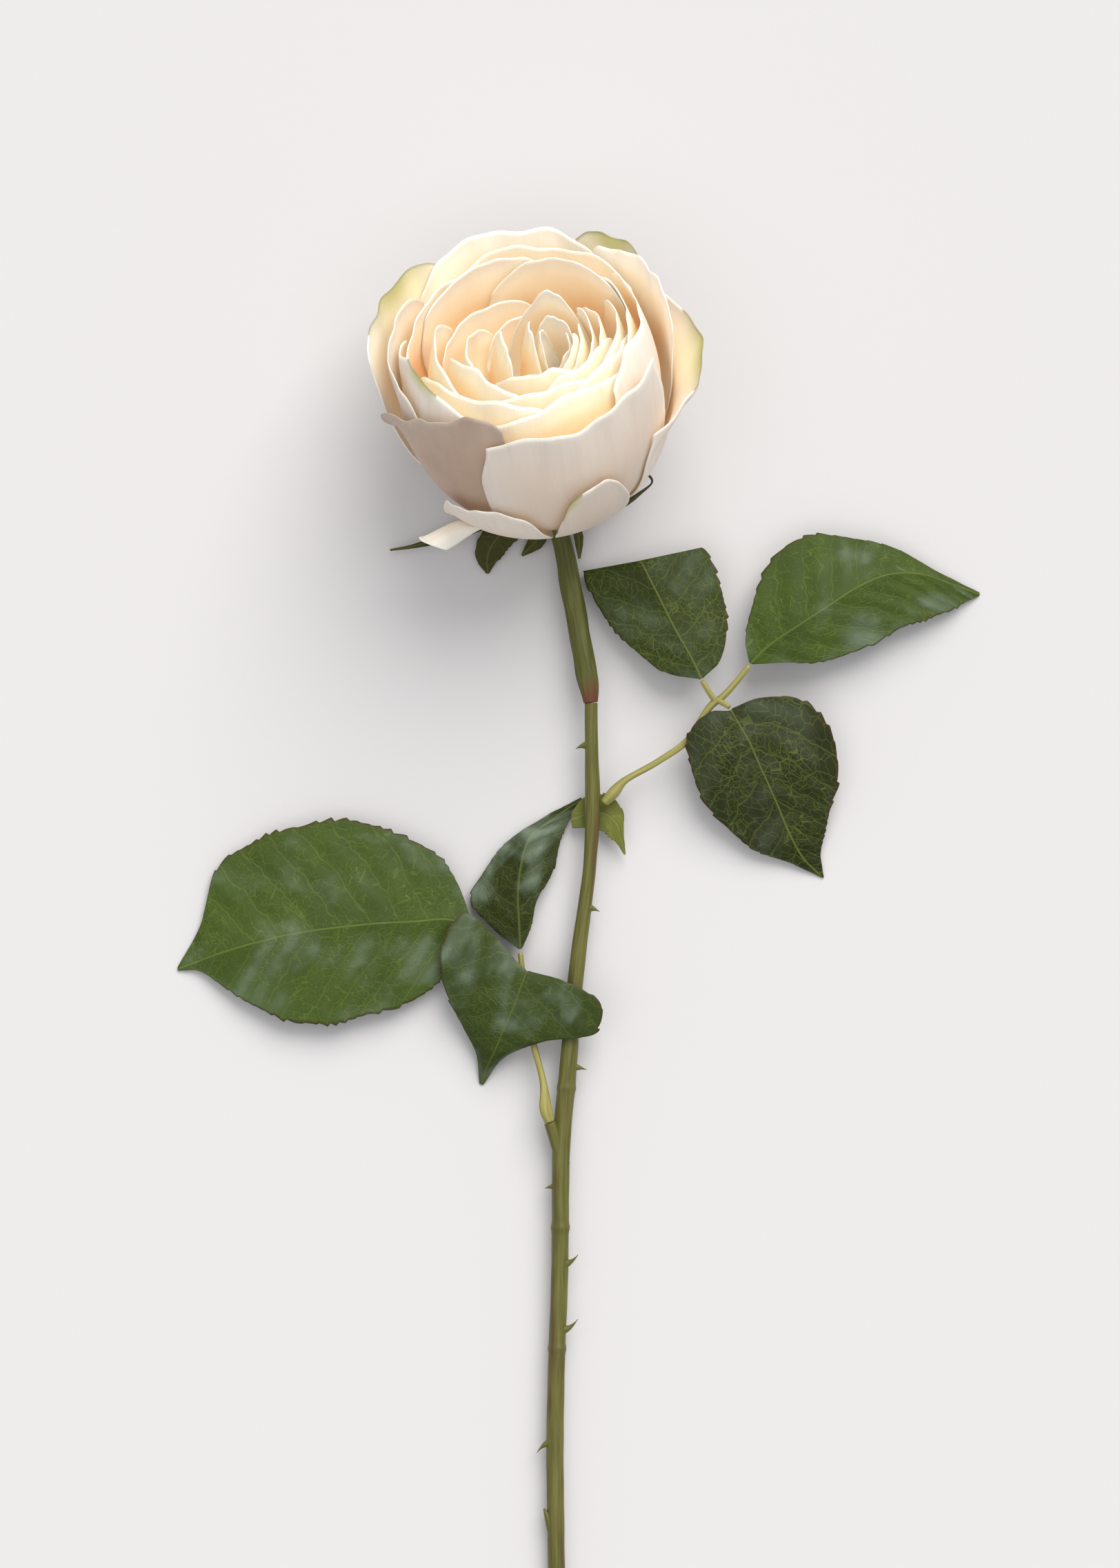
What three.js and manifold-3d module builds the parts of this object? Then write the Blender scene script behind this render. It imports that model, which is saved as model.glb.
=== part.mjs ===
// A cut garden rose lying on its back: one full bloom, a thorned stem and two sprays of leaves.
// Millimetres. +Y runs along the stem toward the bloom, +X to the right, +Z up from the surface.
import * as THREE from 'three';
import Module from 'manifold-3d';
import { mergeVertices } from 'three/addons/utils/BufferGeometryUtils.js';

const wasm = await Module();
wasm.setup();

// ---------------------------------------------------------------- sizes
const GAP = 0.3; // clearance between two pieces that meet
const PETAL_THICKNESS = 0.4;
const LEAF_THICKNESS = 0.5;

const HEART_RADIUS = 4.4; // radius of the innermost petal's cup
const LAYER_STEP = 1.1; // one petal's cup to the next one outside it
const COLUMN_RADIUS = 2.6; // the core that every petal is joined to
const BLOOM_NOD = 45; // degrees that the bloom faces up from the surface
const BLOOM_LEAN = 10; // degrees that it leans to the left
const OUTER_LAYER = 36;
const BLOOM_RADIUS = HEART_RADIUS + OUTER_LAYER * LAYER_STEP;
const HEART_SHIFT = 8; // how far the heart sits to the right of the bloom's axis
const HEART_REACH = 36; // the radius past which that shift has faded out

const STEM_RADIUS = 2.5; // at the cut end; the upper stem is a little thinner
const STEM_LENGTH = 362; // cut end to the neck
const NECK_RADIUS = 3.0;
const HIP_RADIUS = 5.2; // the swelling that the sepals and petals grow from
const HIP_LENGTH = 6.5;
const PETIOLE_RADIUS = 0.95;

const NECK_FOOT = 251; // y where the neck meets the stem
const HIP_X = -1.5; // where the neck's top meets the hip
const HIP_Y = 304.6;
const BLOOM_PRESS = 1; // the lowest petals stop this much short of the full round bowl

// ---------------------------------------------------------------- colours
const CREAM = 0xf3e3cf;
const HEART = 0xf3d3a0;
const BLUSH = 0xdccbc0;
const LEAF_GREEN = 0x3f5a2a;
const STEM_GREEN = 0x5d6330;
const NECK_GREEN = 0x6d7230;
const PETIOLE_GREEN = 0xa8a050;

const group = new THREE.Group();
group.name = 'cut_rose';

function addPiece(name, geometry, color, roughness) {
  const material = new THREE.MeshStandardMaterial({ color, roughness, metalness: 0 });
  const mesh = new THREE.Mesh(geometry, material);
  mesh.name = name;
  group.add(mesh);
}

// ---------------------------------------------------------------- shared shapes
function smooth(x) {
  const t = Math.min(Math.max(x, 0), 1);
  return t * t * (3 - 2 * t);
}

function mix(a, b, t) {
  return a + (b - a) * t;
}

// A closed thin solid from a grid of points: each point is moved half the thickness to
// either side along the grid's own normal, and the two skins are joined round the edge.
function sheetSolid(rows, thickness) {
  const nv = rows.length;
  const nu = rows[0].length;
  const positions = [];
  for (const side of [0.5, -0.5]) {
    for (let i = 0; i < nv; i += 1) {
      for (let j = 0; j < nu; j += 1) {
        const up = rows[Math.min(i + 1, nv - 1)][j].clone().sub(rows[Math.max(i - 1, 0)][j]);
        const along = rows[i][Math.min(j + 1, nu - 1)].clone().sub(rows[i][Math.max(j - 1, 0)]);
        const normal = along.cross(up).normalize();
        const point = rows[i][j].clone().addScaledVector(normal, side * thickness);
        positions.push(point.x, point.y, point.z);
      }
    }
  }
  const back = nv * nu;
  const index = [];
  for (let i = 0; i < nv - 1; i += 1) {
    for (let j = 0; j < nu - 1; j += 1) {
      const a = i * nu + j;
      const b = a + 1;
      const c = b + nu;
      const d = a + nu;
      index.push(a, b, c, a, c, d);
      index.push(back + a, back + c, back + b, back + a, back + d, back + c);
    }
  }
  const edge = [];
  for (let j = 0; j < nu - 1; j += 1) edge.push([j, j + 1]);
  for (let i = 0; i < nv - 1; i += 1) edge.push([i * nu + nu - 1, (i + 1) * nu + nu - 1]);
  for (let j = nu - 1; j > 0; j -= 1) edge.push([(nv - 1) * nu + j, (nv - 1) * nu + j - 1]);
  for (let i = nv - 1; i > 0; i -= 1) edge.push([i * nu, (i - 1) * nu]);
  for (const [p, q] of edge) {
    index.push(p, back + p, back + q, p, back + q, q);
  }
  const geometry = new THREE.BufferGeometry();
  geometry.setAttribute('position', new THREE.Float32BufferAttribute(positions, 3));
  geometry.setIndex(index);
  return geometry;
}

// A closed limb of round section along a smooth curve; stations are [x, y, z, radius].
function limb(stations, steps, sides) {
  const path = new THREE.CatmullRomCurve3(
    stations.map((s) => new THREE.Vector3(s[0], s[1], s[2])),
    false,
    'centripetal',
  );
  const last = stations.length - 1;
  const positions = [];
  const index = [];
  let across = null;
  for (let i = 0; i <= steps; i += 1) {
    const t = i / steps;
    const k = Math.min(Math.floor(t * last), last - 1);
    const radius = mix(stations[k][3], stations[k + 1][3], smooth(t * last - k));
    const centre = path.getPoint(t);
    const along = path.getTangent(t);
    if (across === null) {
      across = new THREE.Vector3(0, 0, 1).cross(along);
      if (across.length() < 0.1) across.set(1, 0, 0);
    }
    across.addScaledVector(along, -across.dot(along)).normalize();
    const other = along.clone().cross(across);
    for (let j = 0; j < sides; j += 1) {
      const angle = (2 * Math.PI * j) / sides;
      const point = centre.clone();
      point.addScaledVector(across, radius * Math.cos(angle));
      point.addScaledVector(other, radius * Math.sin(angle));
      positions.push(point.x, point.y, point.z);
    }
  }
  for (let i = 0; i < steps; i += 1) {
    for (let j = 0; j < sides; j += 1) {
      const a = i * sides + j;
      const b = i * sides + ((j + 1) % sides);
      index.push(a, b, b + sides, a, b + sides, a + sides);
    }
  }
  for (let j = 1; j < sides - 1; j += 1) {
    const top = steps * sides;
    index.push(0, j + 1, j);
    index.push(top, top + j, top + j + 1);
  }
  const geometry = new THREE.BufferGeometry();
  geometry.setAttribute('position', new THREE.Float32BufferAttribute(positions, 3));
  geometry.setIndex(index);
  return geometry;
}

function toSolid(geometry) {
  const clean = geometry.clone();
  clean.deleteAttribute('normal');
  clean.deleteAttribute('uv');
  const welded = mergeVertices(clean, 1e-5);
  return new wasm.Manifold(
    new wasm.Mesh({
      numProp: 3,
      vertProperties: new Float32Array(welded.attributes.position.array),
      triVerts: new Uint32Array(welded.index.array),
    }),
  );
}

function joined(geometries) {
  let solid = toSolid(geometries[0]);
  for (const geometry of geometries.slice(1)) solid = solid.add(toSolid(geometry));
  const mesh = solid.getMesh();
  const result = new THREE.BufferGeometry();
  result.setAttribute('position', new THREE.Float32BufferAttribute(mesh.vertProperties, 3));
  result.setIndex(Array.from(mesh.triVerts));
  return result;
}

// ---------------------------------------------------------------- the bloom's own frame
// The axis points out of the heart; angles round it start at the front (the side that
// faces up from the surface) and grow toward the right. Heights start at the widest place.
const nod = THREE.MathUtils.degToRad(BLOOM_NOD);
const lean = THREE.MathUtils.degToRad(BLOOM_LEAN);
const axis = new THREE.Vector3(
  -Math.sin(lean) * Math.cos(nod),
  Math.cos(lean) * Math.cos(nod),
  Math.sin(nod),
);
const right = new THREE.Vector3(Math.cos(lean), Math.sin(lean), 0);
const front = new THREE.Vector3().crossVectors(right, axis);

// The axis rises from the hip, so a wider bloom has its centre farther up it.
const HIP_TOP = -BLOOM_RADIUS - 0.4;
const HIP_FOOT = HIP_TOP - HIP_LENGTH - GAP;
const bloomCentre = new THREE.Vector3(
  HIP_X - HIP_FOOT * axis.x,
  HIP_Y - HIP_FOOT * axis.y,
  BLOOM_RADIUS - BLOOM_PRESS,
);

// The heart's sideways shift fades with the radius and down the column to the hip.
function inBloom(angleDegrees, radius, height) {
  const angle = THREE.MathUtils.degToRad(angleDegrees);
  const inner = 1 - smooth(radius / HEART_REACH);
  const aside = HEART_SHIFT * inner * smooth((height + BLOOM_RADIUS) / BLOOM_RADIUS);
  return bloomCentre
    .clone()
    .addScaledVector(right, radius * Math.sin(angle) + aside)
    .addScaledVector(front, radius * Math.cos(angle))
    .addScaledVector(axis, height);
}

// ---------------------------------------------------------------- petals
// Every petal is part of a cup: a round bowl below the widest place and a wall above it
// that leans in over the heart. Its claw meets the column; its rim may flare outward.
// layer: how many steps its cup lies outside the heart. angle, half: where its middle
// lies and how far it reaches to either side, in degrees. rim and flare: the height and
// the outward bend at the left shoulder, the middle and the right shoulder.
const CLAW_RADIUS = COLUMN_RADIUS + GAP;
const CLAW_WIDTH = 0.8;
const FULL_WIDTH_AT = 0.6;
const CLOSING = 3.8; // how far a wall 20 mm high leans in
const FLARED_FROM = 29; // from this layer the walls lean in less,
const FLARED_AT = 33; // and from this layer not at all
const FLARE_FROM = 0.72;
const SHOULDER_DROP = 4;
const WAIST = 0.035; // the bowls are narrower by this share
const WAIST_AT = -12; // at this height

const petals = [
  { name: 'guard_tail', layer: 36, angle: -57, half: 5, rim: [-26, -24, -26], flare: [9, 10, 9] },
  { name: 'guard_left', layer: 35, angle: -31, half: 27, rim: [-17, -10, -18], flare: [0.5, 0.4, 0.3] },
  { name: 'guard_right', layer: 35, angle: 18, half: 20, rim: [-20, -2.5, -19], flare: [0.2, 0.5, 0.4] },
  { name: 'outer_back_left', layer: 35.3, angle: -130, half: 36, rim: [14, 23, 18], flare: [1.5, 2.2, 1.5] },
  { name: 'outer_back_right', layer: 35.3, angle: 142, half: 27, rim: [18, 22, 14], flare: [1, 2.4, 2] },
  { name: 'outer_right', layer: 34, angle: 82, half: 36, rim: [4, 9.5, 16], flare: [0.4, 8.5, 1] },
  { name: 'outer_back', layer: 34, angle: 182, half: 42, rim: [18, 24, 16], flare: [1.2, 1.5, 1.2] },
  { name: 'outer_front', layer: 33, angle: 18, half: 46, rim: [19, 19.5, 26], flare: [0.3, 0.6, 0.3] },
  { name: 'outer_side', layer: 33, angle: 116, half: 32, rim: [20, 24, 21], flare: [0.8, 1.4, 1] },
  { name: 'outer_front_left', layer: 32, angle: -52, half: 40, rim: [5, 18, 25], flare: [4.5, 0.4, 0] },
  { name: 'outer_left', layer: 31, angle: -98, half: 44, rim: [19, 22, 11], flare: [1.5, 2.2, 0.2] },
  { name: 'ring_back', layer: 31, angle: 165, half: 50, rim: [18, 21.5, 17], flare: [1, 1, 1] },
  { name: 'ring_left', layer: 30, angle: -72, half: 46, rim: [18, 23.5, 21], flare: [1, 0.8, 0.2] },
  { name: 'ring_right', layer: 30, angle: 84, half: 49, rim: [23, 25, 21], flare: [0.3, 0.3, 0.2] },
  { name: 'ring_back_left', layer: 29, angle: -128, half: 50, rim: [17, 22, 20], flare: [0.8, 0.8, 0.6] },
  { name: 'ring_front', layer: 28, angle: 5, half: 66, rim: [10, 20.8, 19], flare: [0.3, 0, 0] },
  { name: 'mid_back', layer: 28, angle: -166, half: 44, rim: [15, 24.5, 18], flare: [0.6, 0.8, 0.6] },
  { name: 'mid_right', layer: 27, angle: 100, half: 50, rim: [20, 24, 21], flare: [0.3, 0.3, 0.3] },
  { name: 'mid_back_right', layer: 26, angle: 150, half: 48, rim: [21, 25, 16], flare: [0.4, 0.6, 0.4] },
  { name: 'ring_front_left', layer: 26, angle: -38, half: 56, rim: [16, 21.5, 18], flare: [0, 0, 0] },
  { name: 'ring_front_right', layer: 25, angle: 44, half: 54, rim: [17, 22, 18], flare: [0, 0, 0] },
  { name: 'mid_left', layer: 24, angle: -90, half: 52, rim: [13, 22, 17], flare: [0.3, 0.3, 0] },
  { name: 'mid_side', layer: 23, angle: 76, half: 52, rim: [16, 23, 18], flare: [0, 0.2, 0.2] },
  { name: 'mid_front', layer: 22, angle: 4, half: 60, rim: [14, 21.3, 15], flare: [0, 0, 0] },
  { name: 'mid_back_left', layer: 21, angle: -150, half: 48, rim: [7, 13.5, 12], flare: [0.4, 0.4, 0.4] },
  { name: 'mid_front_left', layer: 20, angle: -52, half: 56, rim: [15, 22, 16], flare: [0, 0, 0] },
  { name: 'mid_front_right', layer: 18, angle: 38, half: 56, rim: [15, 22, 17], flare: [0, 0, 0] },
  { name: 'heart_left', layer: 17, angle: -104, half: 54, rim: [8, 18, 15], flare: [0.2, 0.2, 0] },
  { name: 'heart_right', layer: 16, angle: 100, half: 54, rim: [15, 21, 10], flare: [0, 0.2, 0.2] },
  { name: 'heart_back', layer: 15, angle: 178, half: 50, rim: [7, 12, 7], flare: [0.2, 0.2, 0.2] },
  { name: 'heart_front', layer: 14, angle: -8, half: 60, rim: [14, 20.5, 15], flare: [0, 0, 0] },
  { name: 'heart_side', layer: 12, angle: 76, half: 56, rim: [11, 19, 24], flare: [0, 0, 0] },
  { name: 'heart_pocket', layer: 11.4, angle: -84, half: 48, rim: [13, 24, 16], flare: [0, 0, 0] },
  { name: 'core_arch', layer: 10, angle: 166, half: 60, rim: [13, 28, 13], flare: [0, 0, 0] },
  { name: 'core_side', layer: 8, angle: 50, half: 56, rim: [8, 16, 24], flare: [0, 0, 0] },
  { name: 'core_front', layer: 6.4, angle: 18, half: 64, rim: [9, 15, 23], flare: [0, 0, 0] },
  { name: 'core_left', layer: 5, angle: -84, half: 70, rim: [14, 26, 13], flare: [0, 0, 0] },
  { name: 'core_back', layer: 4, angle: 160, half: 66, rim: [15, 22, 15], flare: [-0.3, -0.3, -0.3] },
  { name: 'core_right', layer: 2, angle: 60, half: 70, rim: [11, 16, 19], flare: [-0.4, -0.4, -0.4] },
  { name: 'core_tip', layer: 0.5, angle: -110, half: 84, rim: [14, 20, 14], flare: [-0.6, -0.6, -0.6] },
];

// The parabola through three values at u = -1, 0 and 1.
function through([left, middle, rightValue], u) {
  const bow = (left + rightValue) / 2 - middle;
  return middle + ((rightValue - left) / 2) * u + bow * u * u;
}

// The lengths along the petal's middle surface where its claw ends, where it is widest
// and where its rim lies, for one place u across it (-1 at the left edge, 1 at the right).
function petalSpan(petal, u) {
  const cup = HEART_RADIUS + petal.layer * LAYER_STEP;
  const rim = through(petal.rim, u) - SHOULDER_DROP * u ** 6;
  const start = cup * Math.asin(CLAW_RADIUS / cup);
  const widest = (cup * Math.PI) / 2;
  const end = rim >= 0 ? widest + rim : cup * Math.acos(Math.min(-rim / cup, 1));
  return { cup, start, widest, end };
}

function petalPoint(petal, u, length) {
  const { cup, start, widest, end } = petalSpan(petal, u);
  const v = (length - start) / (end - start);
  const bowl = Math.min(length / cup, Math.PI / 2);
  const wall = Math.max(length - widest, 0);
  const turn = smooth((v - FLARE_FROM) / (1 - FLARE_FROM)) ** 2;
  const flare = through(petal.flare, u) * turn;
  const upright = smooth((petal.layer - FLARED_FROM) / (FLARED_AT - FLARED_FROM));
  const closing = CLOSING * smooth(cup / 14) * (1 - upright) * (wall / 20) ** 1.5;
  const height = -cup * Math.cos(bowl) + wall - 0.3 * Math.max(flare, 0);
  const waist = 1 - WAIST * Math.exp(-(((height - WAIST_AT) / 14) ** 2));
  const radius = (cup * Math.sin(bowl) - closing + flare) * waist;
  const width = mix(CLAW_WIDTH, 1, smooth(v / FULL_WIDTH_AT)) * (1 - 0.1 * smooth((v - 0.8) / 0.2));
  return inBloom(petal.angle + petal.half * width * u, radius, height);
}

// Every cup is cut into facets at the same shares of its bowl, so neighbours lie parallel.
const BOWL_STOPS = [0, 0.3, 0.54, 0.77, 1];
const WALL_STOPS = [0.45, 0.76, 1];

function petalRow(petal, stop, nu) {
  const row = [];
  for (let j = 0; j <= nu; j += 1) {
    const u = (2 * j) / nu - 1;
    const { start, widest, end } = petalSpan(petal, u);
    const inBowl = stop < BOWL_STOPS.length;
    const share = inBowl ? BOWL_STOPS[stop] : WALL_STOPS[stop - BOWL_STOPS.length];
    const length = inBowl ? mix(start, widest, share) : mix(widest, end, share);
    const low = mix(start, end, stop / (BOWL_STOPS.length + WALL_STOPS.length - 1));
    row.push(petalPoint(petal, u, Math.min(...petal.rim) > 0 ? length : low));
  }
  return row;
}

for (const petal of petals) {
  const nu = petal.layer >= 23 ? 8 : 6;
  const rows = [...BOWL_STOPS, ...WALL_STOPS].map((_, stop) => petalRow(petal, stop, nu));
  const color = petal.layer >= 31 ? BLUSH : petal.layer >= 14 ? CREAM : HEART;
  addPiece(`petal_${petal.name}`, sheetSolid(rows, PETAL_THICKNESS), color, 0.8);
}

// ---------------------------------------------------------------- receptacle
// The hip that the sepals spring from, and the column that carries the petals' claws.
const COLUMN_TOP = HEART_RADIUS * -0.5;
const COLUMN_RINGS = 8;
const columnHeights = Array.from({ length: COLUMN_RINGS }, (_, i) =>
  mix(HIP_TOP + 0.01, COLUMN_TOP, i / (COLUMN_RINGS - 1)),
);
const receptacleProfile = [
  [0, HIP_TOP - HIP_LENGTH],
  [NECK_RADIUS * 0.9, HIP_TOP - HIP_LENGTH],
  [HIP_RADIUS * 0.9, HIP_TOP - HIP_LENGTH * 0.6],
  [HIP_RADIUS, HIP_TOP - HIP_LENGTH * 0.25],
  [HIP_RADIUS * 0.85, HIP_TOP],
  ...columnHeights.map((height) => [COLUMN_RADIUS, height]),
  [COLUMN_RADIUS * 0.6, HEART_RADIUS * 0.2],
  [0, HEART_RADIUS * 0.45],
];
const receptacle = new THREE.LatheGeometry(
  receptacleProfile.map(([radius, height]) => new THREE.Vector2(radius, height)),
  16,
);
const turned = receptacle.getAttribute('position');
for (let i = 0; i < turned.count; i += 1) {
  const angle = THREE.MathUtils.radToDeg(Math.atan2(turned.getX(i), turned.getZ(i)));
  const point = inBloom(angle, Math.hypot(turned.getX(i), turned.getZ(i)), turned.getY(i));
  turned.setXYZ(i, point.x, point.y, point.z);
}
addPiece('receptacle', joined([receptacle]), NECK_GREEN, 0.7);

// ---------------------------------------------------------------- neck and stem
const hipFoot = inBloom(0, 0, HIP_FOOT);
const underHip = inBloom(0, 0, HIP_FOOT - 2.5);
const neckStations = [
  [hipFoot.x, hipFoot.y, hipFoot.z, NECK_RADIUS * 0.88],
  [underHip.x, underHip.y, underHip.z, NECK_RADIUS * 0.92],
  [0.9, 296.5, hipFoot.z * 0.69, NECK_RADIUS * 0.92],
  [3.0, 285.4, NECK_RADIUS + 2.6, NECK_RADIUS],
  [6.0, 268.6, NECK_RADIUS + 4.2, NECK_RADIUS],
  [8.2, 257, NECK_RADIUS + 4.9, NECK_RADIUS * 1.05],
  [8.9, NECK_FOOT, NECK_RADIUS + 5.1, NECK_RADIUS * 0.7],
];
addPiece('neck', limb(neckStations, 14, 12), NECK_GREEN, 0.6);

// Below the lower leaf's socket the stem is bare: places there are shares of that length.
const BARE_TOP = 117;
const cutEnd = NECK_FOOT - STEM_LENGTH;

function bareStem(share) {
  return mix(BARE_TOP, cutEnd, share);
}

// The stem's middle line and radius at chosen places, listed downward from the neck.
const stemStations = [
  [9.0, NECK_FOOT - GAP, NECK_RADIUS + 5.1, STEM_RADIUS * 0.74],
  [9.1, 238, 8.0, STEM_RADIUS * 0.76],
  [9.4, 222, 7.7, STEM_RADIUS * 0.9],
  [8.6, 204, 7.3, STEM_RADIUS * 0.76],
  [4.7, 173, 6.8, STEM_RADIUS * 0.92],
  [2.4, 146, 6.5, STEM_RADIUS],
  [0.4, 122, 6.2, STEM_RADIUS * 1.04],
  [0.0, bareStem(0.118), 5.7, STEM_RADIUS * 0.98],
  [-1.4, bareStem(0.329), 5.0, STEM_RADIUS],
  [-1.0, bareStem(0.513), 4.4, STEM_RADIUS],
  [0.6, bareStem(0.781), 3.4, STEM_RADIUS],
  [1.6, cutEnd, STEM_RADIUS + 0.1, STEM_RADIUS],
];

// Raised rings at the stem's joints: the place along the stem and the swelling.
const rings = [
  { y: 139.5, swell: 0.1 },
  { y: bareStem(0.079), swell: 0.12 },
  { y: bareStem(0.232), swell: 0.11 },
  { y: bareStem(0.689), swell: 0.1 },
];

// The middle line's point and the radius at one y, on a smooth cubic through the stations.
function stemAt(y) {
  const last = stemStations.length - 2;
  let k = 0;
  while (k < last && y < stemStations[k + 1][1]) k += 1;
  const [p0, p1, p2, p3] = [k - 1, k, k + 1, k + 2].map(
    (i) => stemStations[Math.min(Math.max(i, 0), last + 1)],
  );
  const t = (y - p1[1]) / (p2[1] - p1[1]);
  const values = [0, 2, 3].map((c) => {
    const slopeIn = ((p2[c] - p0[c]) / (p2[1] - p0[1])) * (p2[1] - p1[1]);
    const slopeOut = ((p3[c] - p1[c]) / (p3[1] - p1[1])) * (p2[1] - p1[1]);
    const cubic = 2 * (p1[c] - p2[c]) + slopeIn + slopeOut;
    const square = 3 * (p2[c] - p1[c]) - 2 * slopeIn - slopeOut;
    return p1[c] + t * (slopeIn + t * (square + t * cubic));
  });
  const swell = rings
    .map((ring) => ring.swell * Math.exp(-(((y - ring.y) / 1.1) ** 2)))
    .reduce((sum, part) => sum + part, 0);
  return [values[0], y, values[1], values[2] * (1 + swell)];
}

const STEM_STEP = 12;
const stemHeights = [NECK_FOOT - GAP];
for (let y = NECK_FOOT - STEM_STEP; y > cutEnd + 1; y -= STEM_STEP) stemHeights.push(y);
stemHeights.push(cutEnd);
for (const ring of rings) stemHeights.push(ring.y + 1.8, ring.y + 0.6, ring.y - 0.6, ring.y - 1.8);
stemHeights.sort((a, b) => b - a);
const stemRows = stemHeights.map(stemAt);
const stem = limb(stemRows, stemRows.length - 1, 12);

// A thorn: a curved cone whose foot sinks into the stem at y; angle turns it round the
// stem from +X toward +Z; tilt bends the tip along the stem, toward the bloom if positive.
const thorns = [
  { y: 238.6, angle: 172, length: 4.6, tilt: -1.0 },
  { y: 191.5, angle: 12, length: 4.4, tilt: -1.0 },
  { y: 145.5, angle: 8, length: 5.4, tilt: -0.8 },
  { y: bareStem(0.026), angle: 170, length: 4.6, tilt: -0.6 },
  { y: bareStem(0.125), angle: 20, length: 5.6, tilt: 2.6 },
  { y: bareStem(0.208), angle: 15, length: 6.0, tilt: 3.0 },
  { y: bareStem(0.353), angle: 168, length: 5.4, tilt: -2.8 },
  { y: bareStem(0.627), angle: 30, length: 5.4, tilt: 1.6 },
  { y: bareStem(0.82), angle: 150, length: 5.0, tilt: -1.4 },
];

function thornShape(thorn) {
  const [x, y, z] = stemAt(thorn.y);
  const angle = THREE.MathUtils.degToRad(thorn.angle);
  const stations = [
    [0.25, 1.5],
    [0.6, 0.85],
    [0.85, 0.4],
    [1, 0.12],
  ].map(([t, radius]) => [
    x + Math.cos(angle) * thorn.length * t,
    y + thorn.tilt * (t - 0.25) ** 2 * 1.8,
    z + Math.sin(angle) * thorn.length * t,
    radius,
  ]);
  return limb(stations, 4, 6);
}

// The socket of the lower leaf and a bud scale, both growing out of the stem.
const SOCKET_TOP = new THREE.Vector3(-2.9, 129.4, 7.6);
const SOCKET_WAY = new THREE.Vector3(-0.31, 0.94, 0.12).normalize(); // the way that it points

function beyondSocket(distance, share) {
  return [...SOCKET_TOP.clone().addScaledVector(SOCKET_WAY, distance).toArray(), share];
}

const socket = limb(
  [
    [1.0, BARE_TOP, 6.3, STEM_RADIUS * 0.8],
    beyondSocket(-6.6, STEM_RADIUS * 0.76),
    beyondSocket(0, STEM_RADIUS * 0.7),
  ],
  5,
  10,
);
const BUD_FOOT = bareStem(0.478);
const budScale = limb(
  [
    [-1.0, BUD_FOOT, 4.6, STEM_RADIUS * 0.8],
    [-2.6, BUD_FOOT + 5, 4.9, STEM_RADIUS * 0.66],
    [-4.6, BUD_FOOT + 9.6, 5.3, 0.3],
  ],
  5,
  8,
);
addPiece('stem', joined([stem, socket, budScale, ...thorns.map(thornShape)]), STEM_GREEN, 0.55);

// ---------------------------------------------------------------- leaves
// A blade is drawn by rows across it from its foot to its tip, each with a left edge,
// a midrib and a right edge point; the blade between them is a smooth sheet.
const BLADE_COLUMNS = 6;
const BLADE_STEPS = 10;

function blade(rows, thickness, steps = BLADE_STEPS, columns = BLADE_COLUMNS) {
  const lines = [0, 1, 2].map(
    (k) =>
      new THREE.CatmullRomCurve3(
        rows.map((row) => new THREE.Vector3(...row[k])),
        false,
        'centripetal',
      ),
  );
  const grid = [];
  for (let i = 0; i <= steps; i += 1) {
    const [left, middle, rightEdge] = lines.map((line) => line.getPoint(i / steps));
    const row = [];
    for (let j = 0; j <= columns; j += 1) {
      const u = (2 * j) / columns - 1;
      const edge = u < 0 ? left : rightEdge;
      const arch = 1 - (1 - Math.abs(u)) ** 1.25;
      row.push(middle.clone().lerp(edge, Math.abs(u)).setZ(mix(middle.z, edge.z, arch)));
    }
    grid.push(row);
  }
  return sheetSolid(grid, thickness);
}

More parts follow.
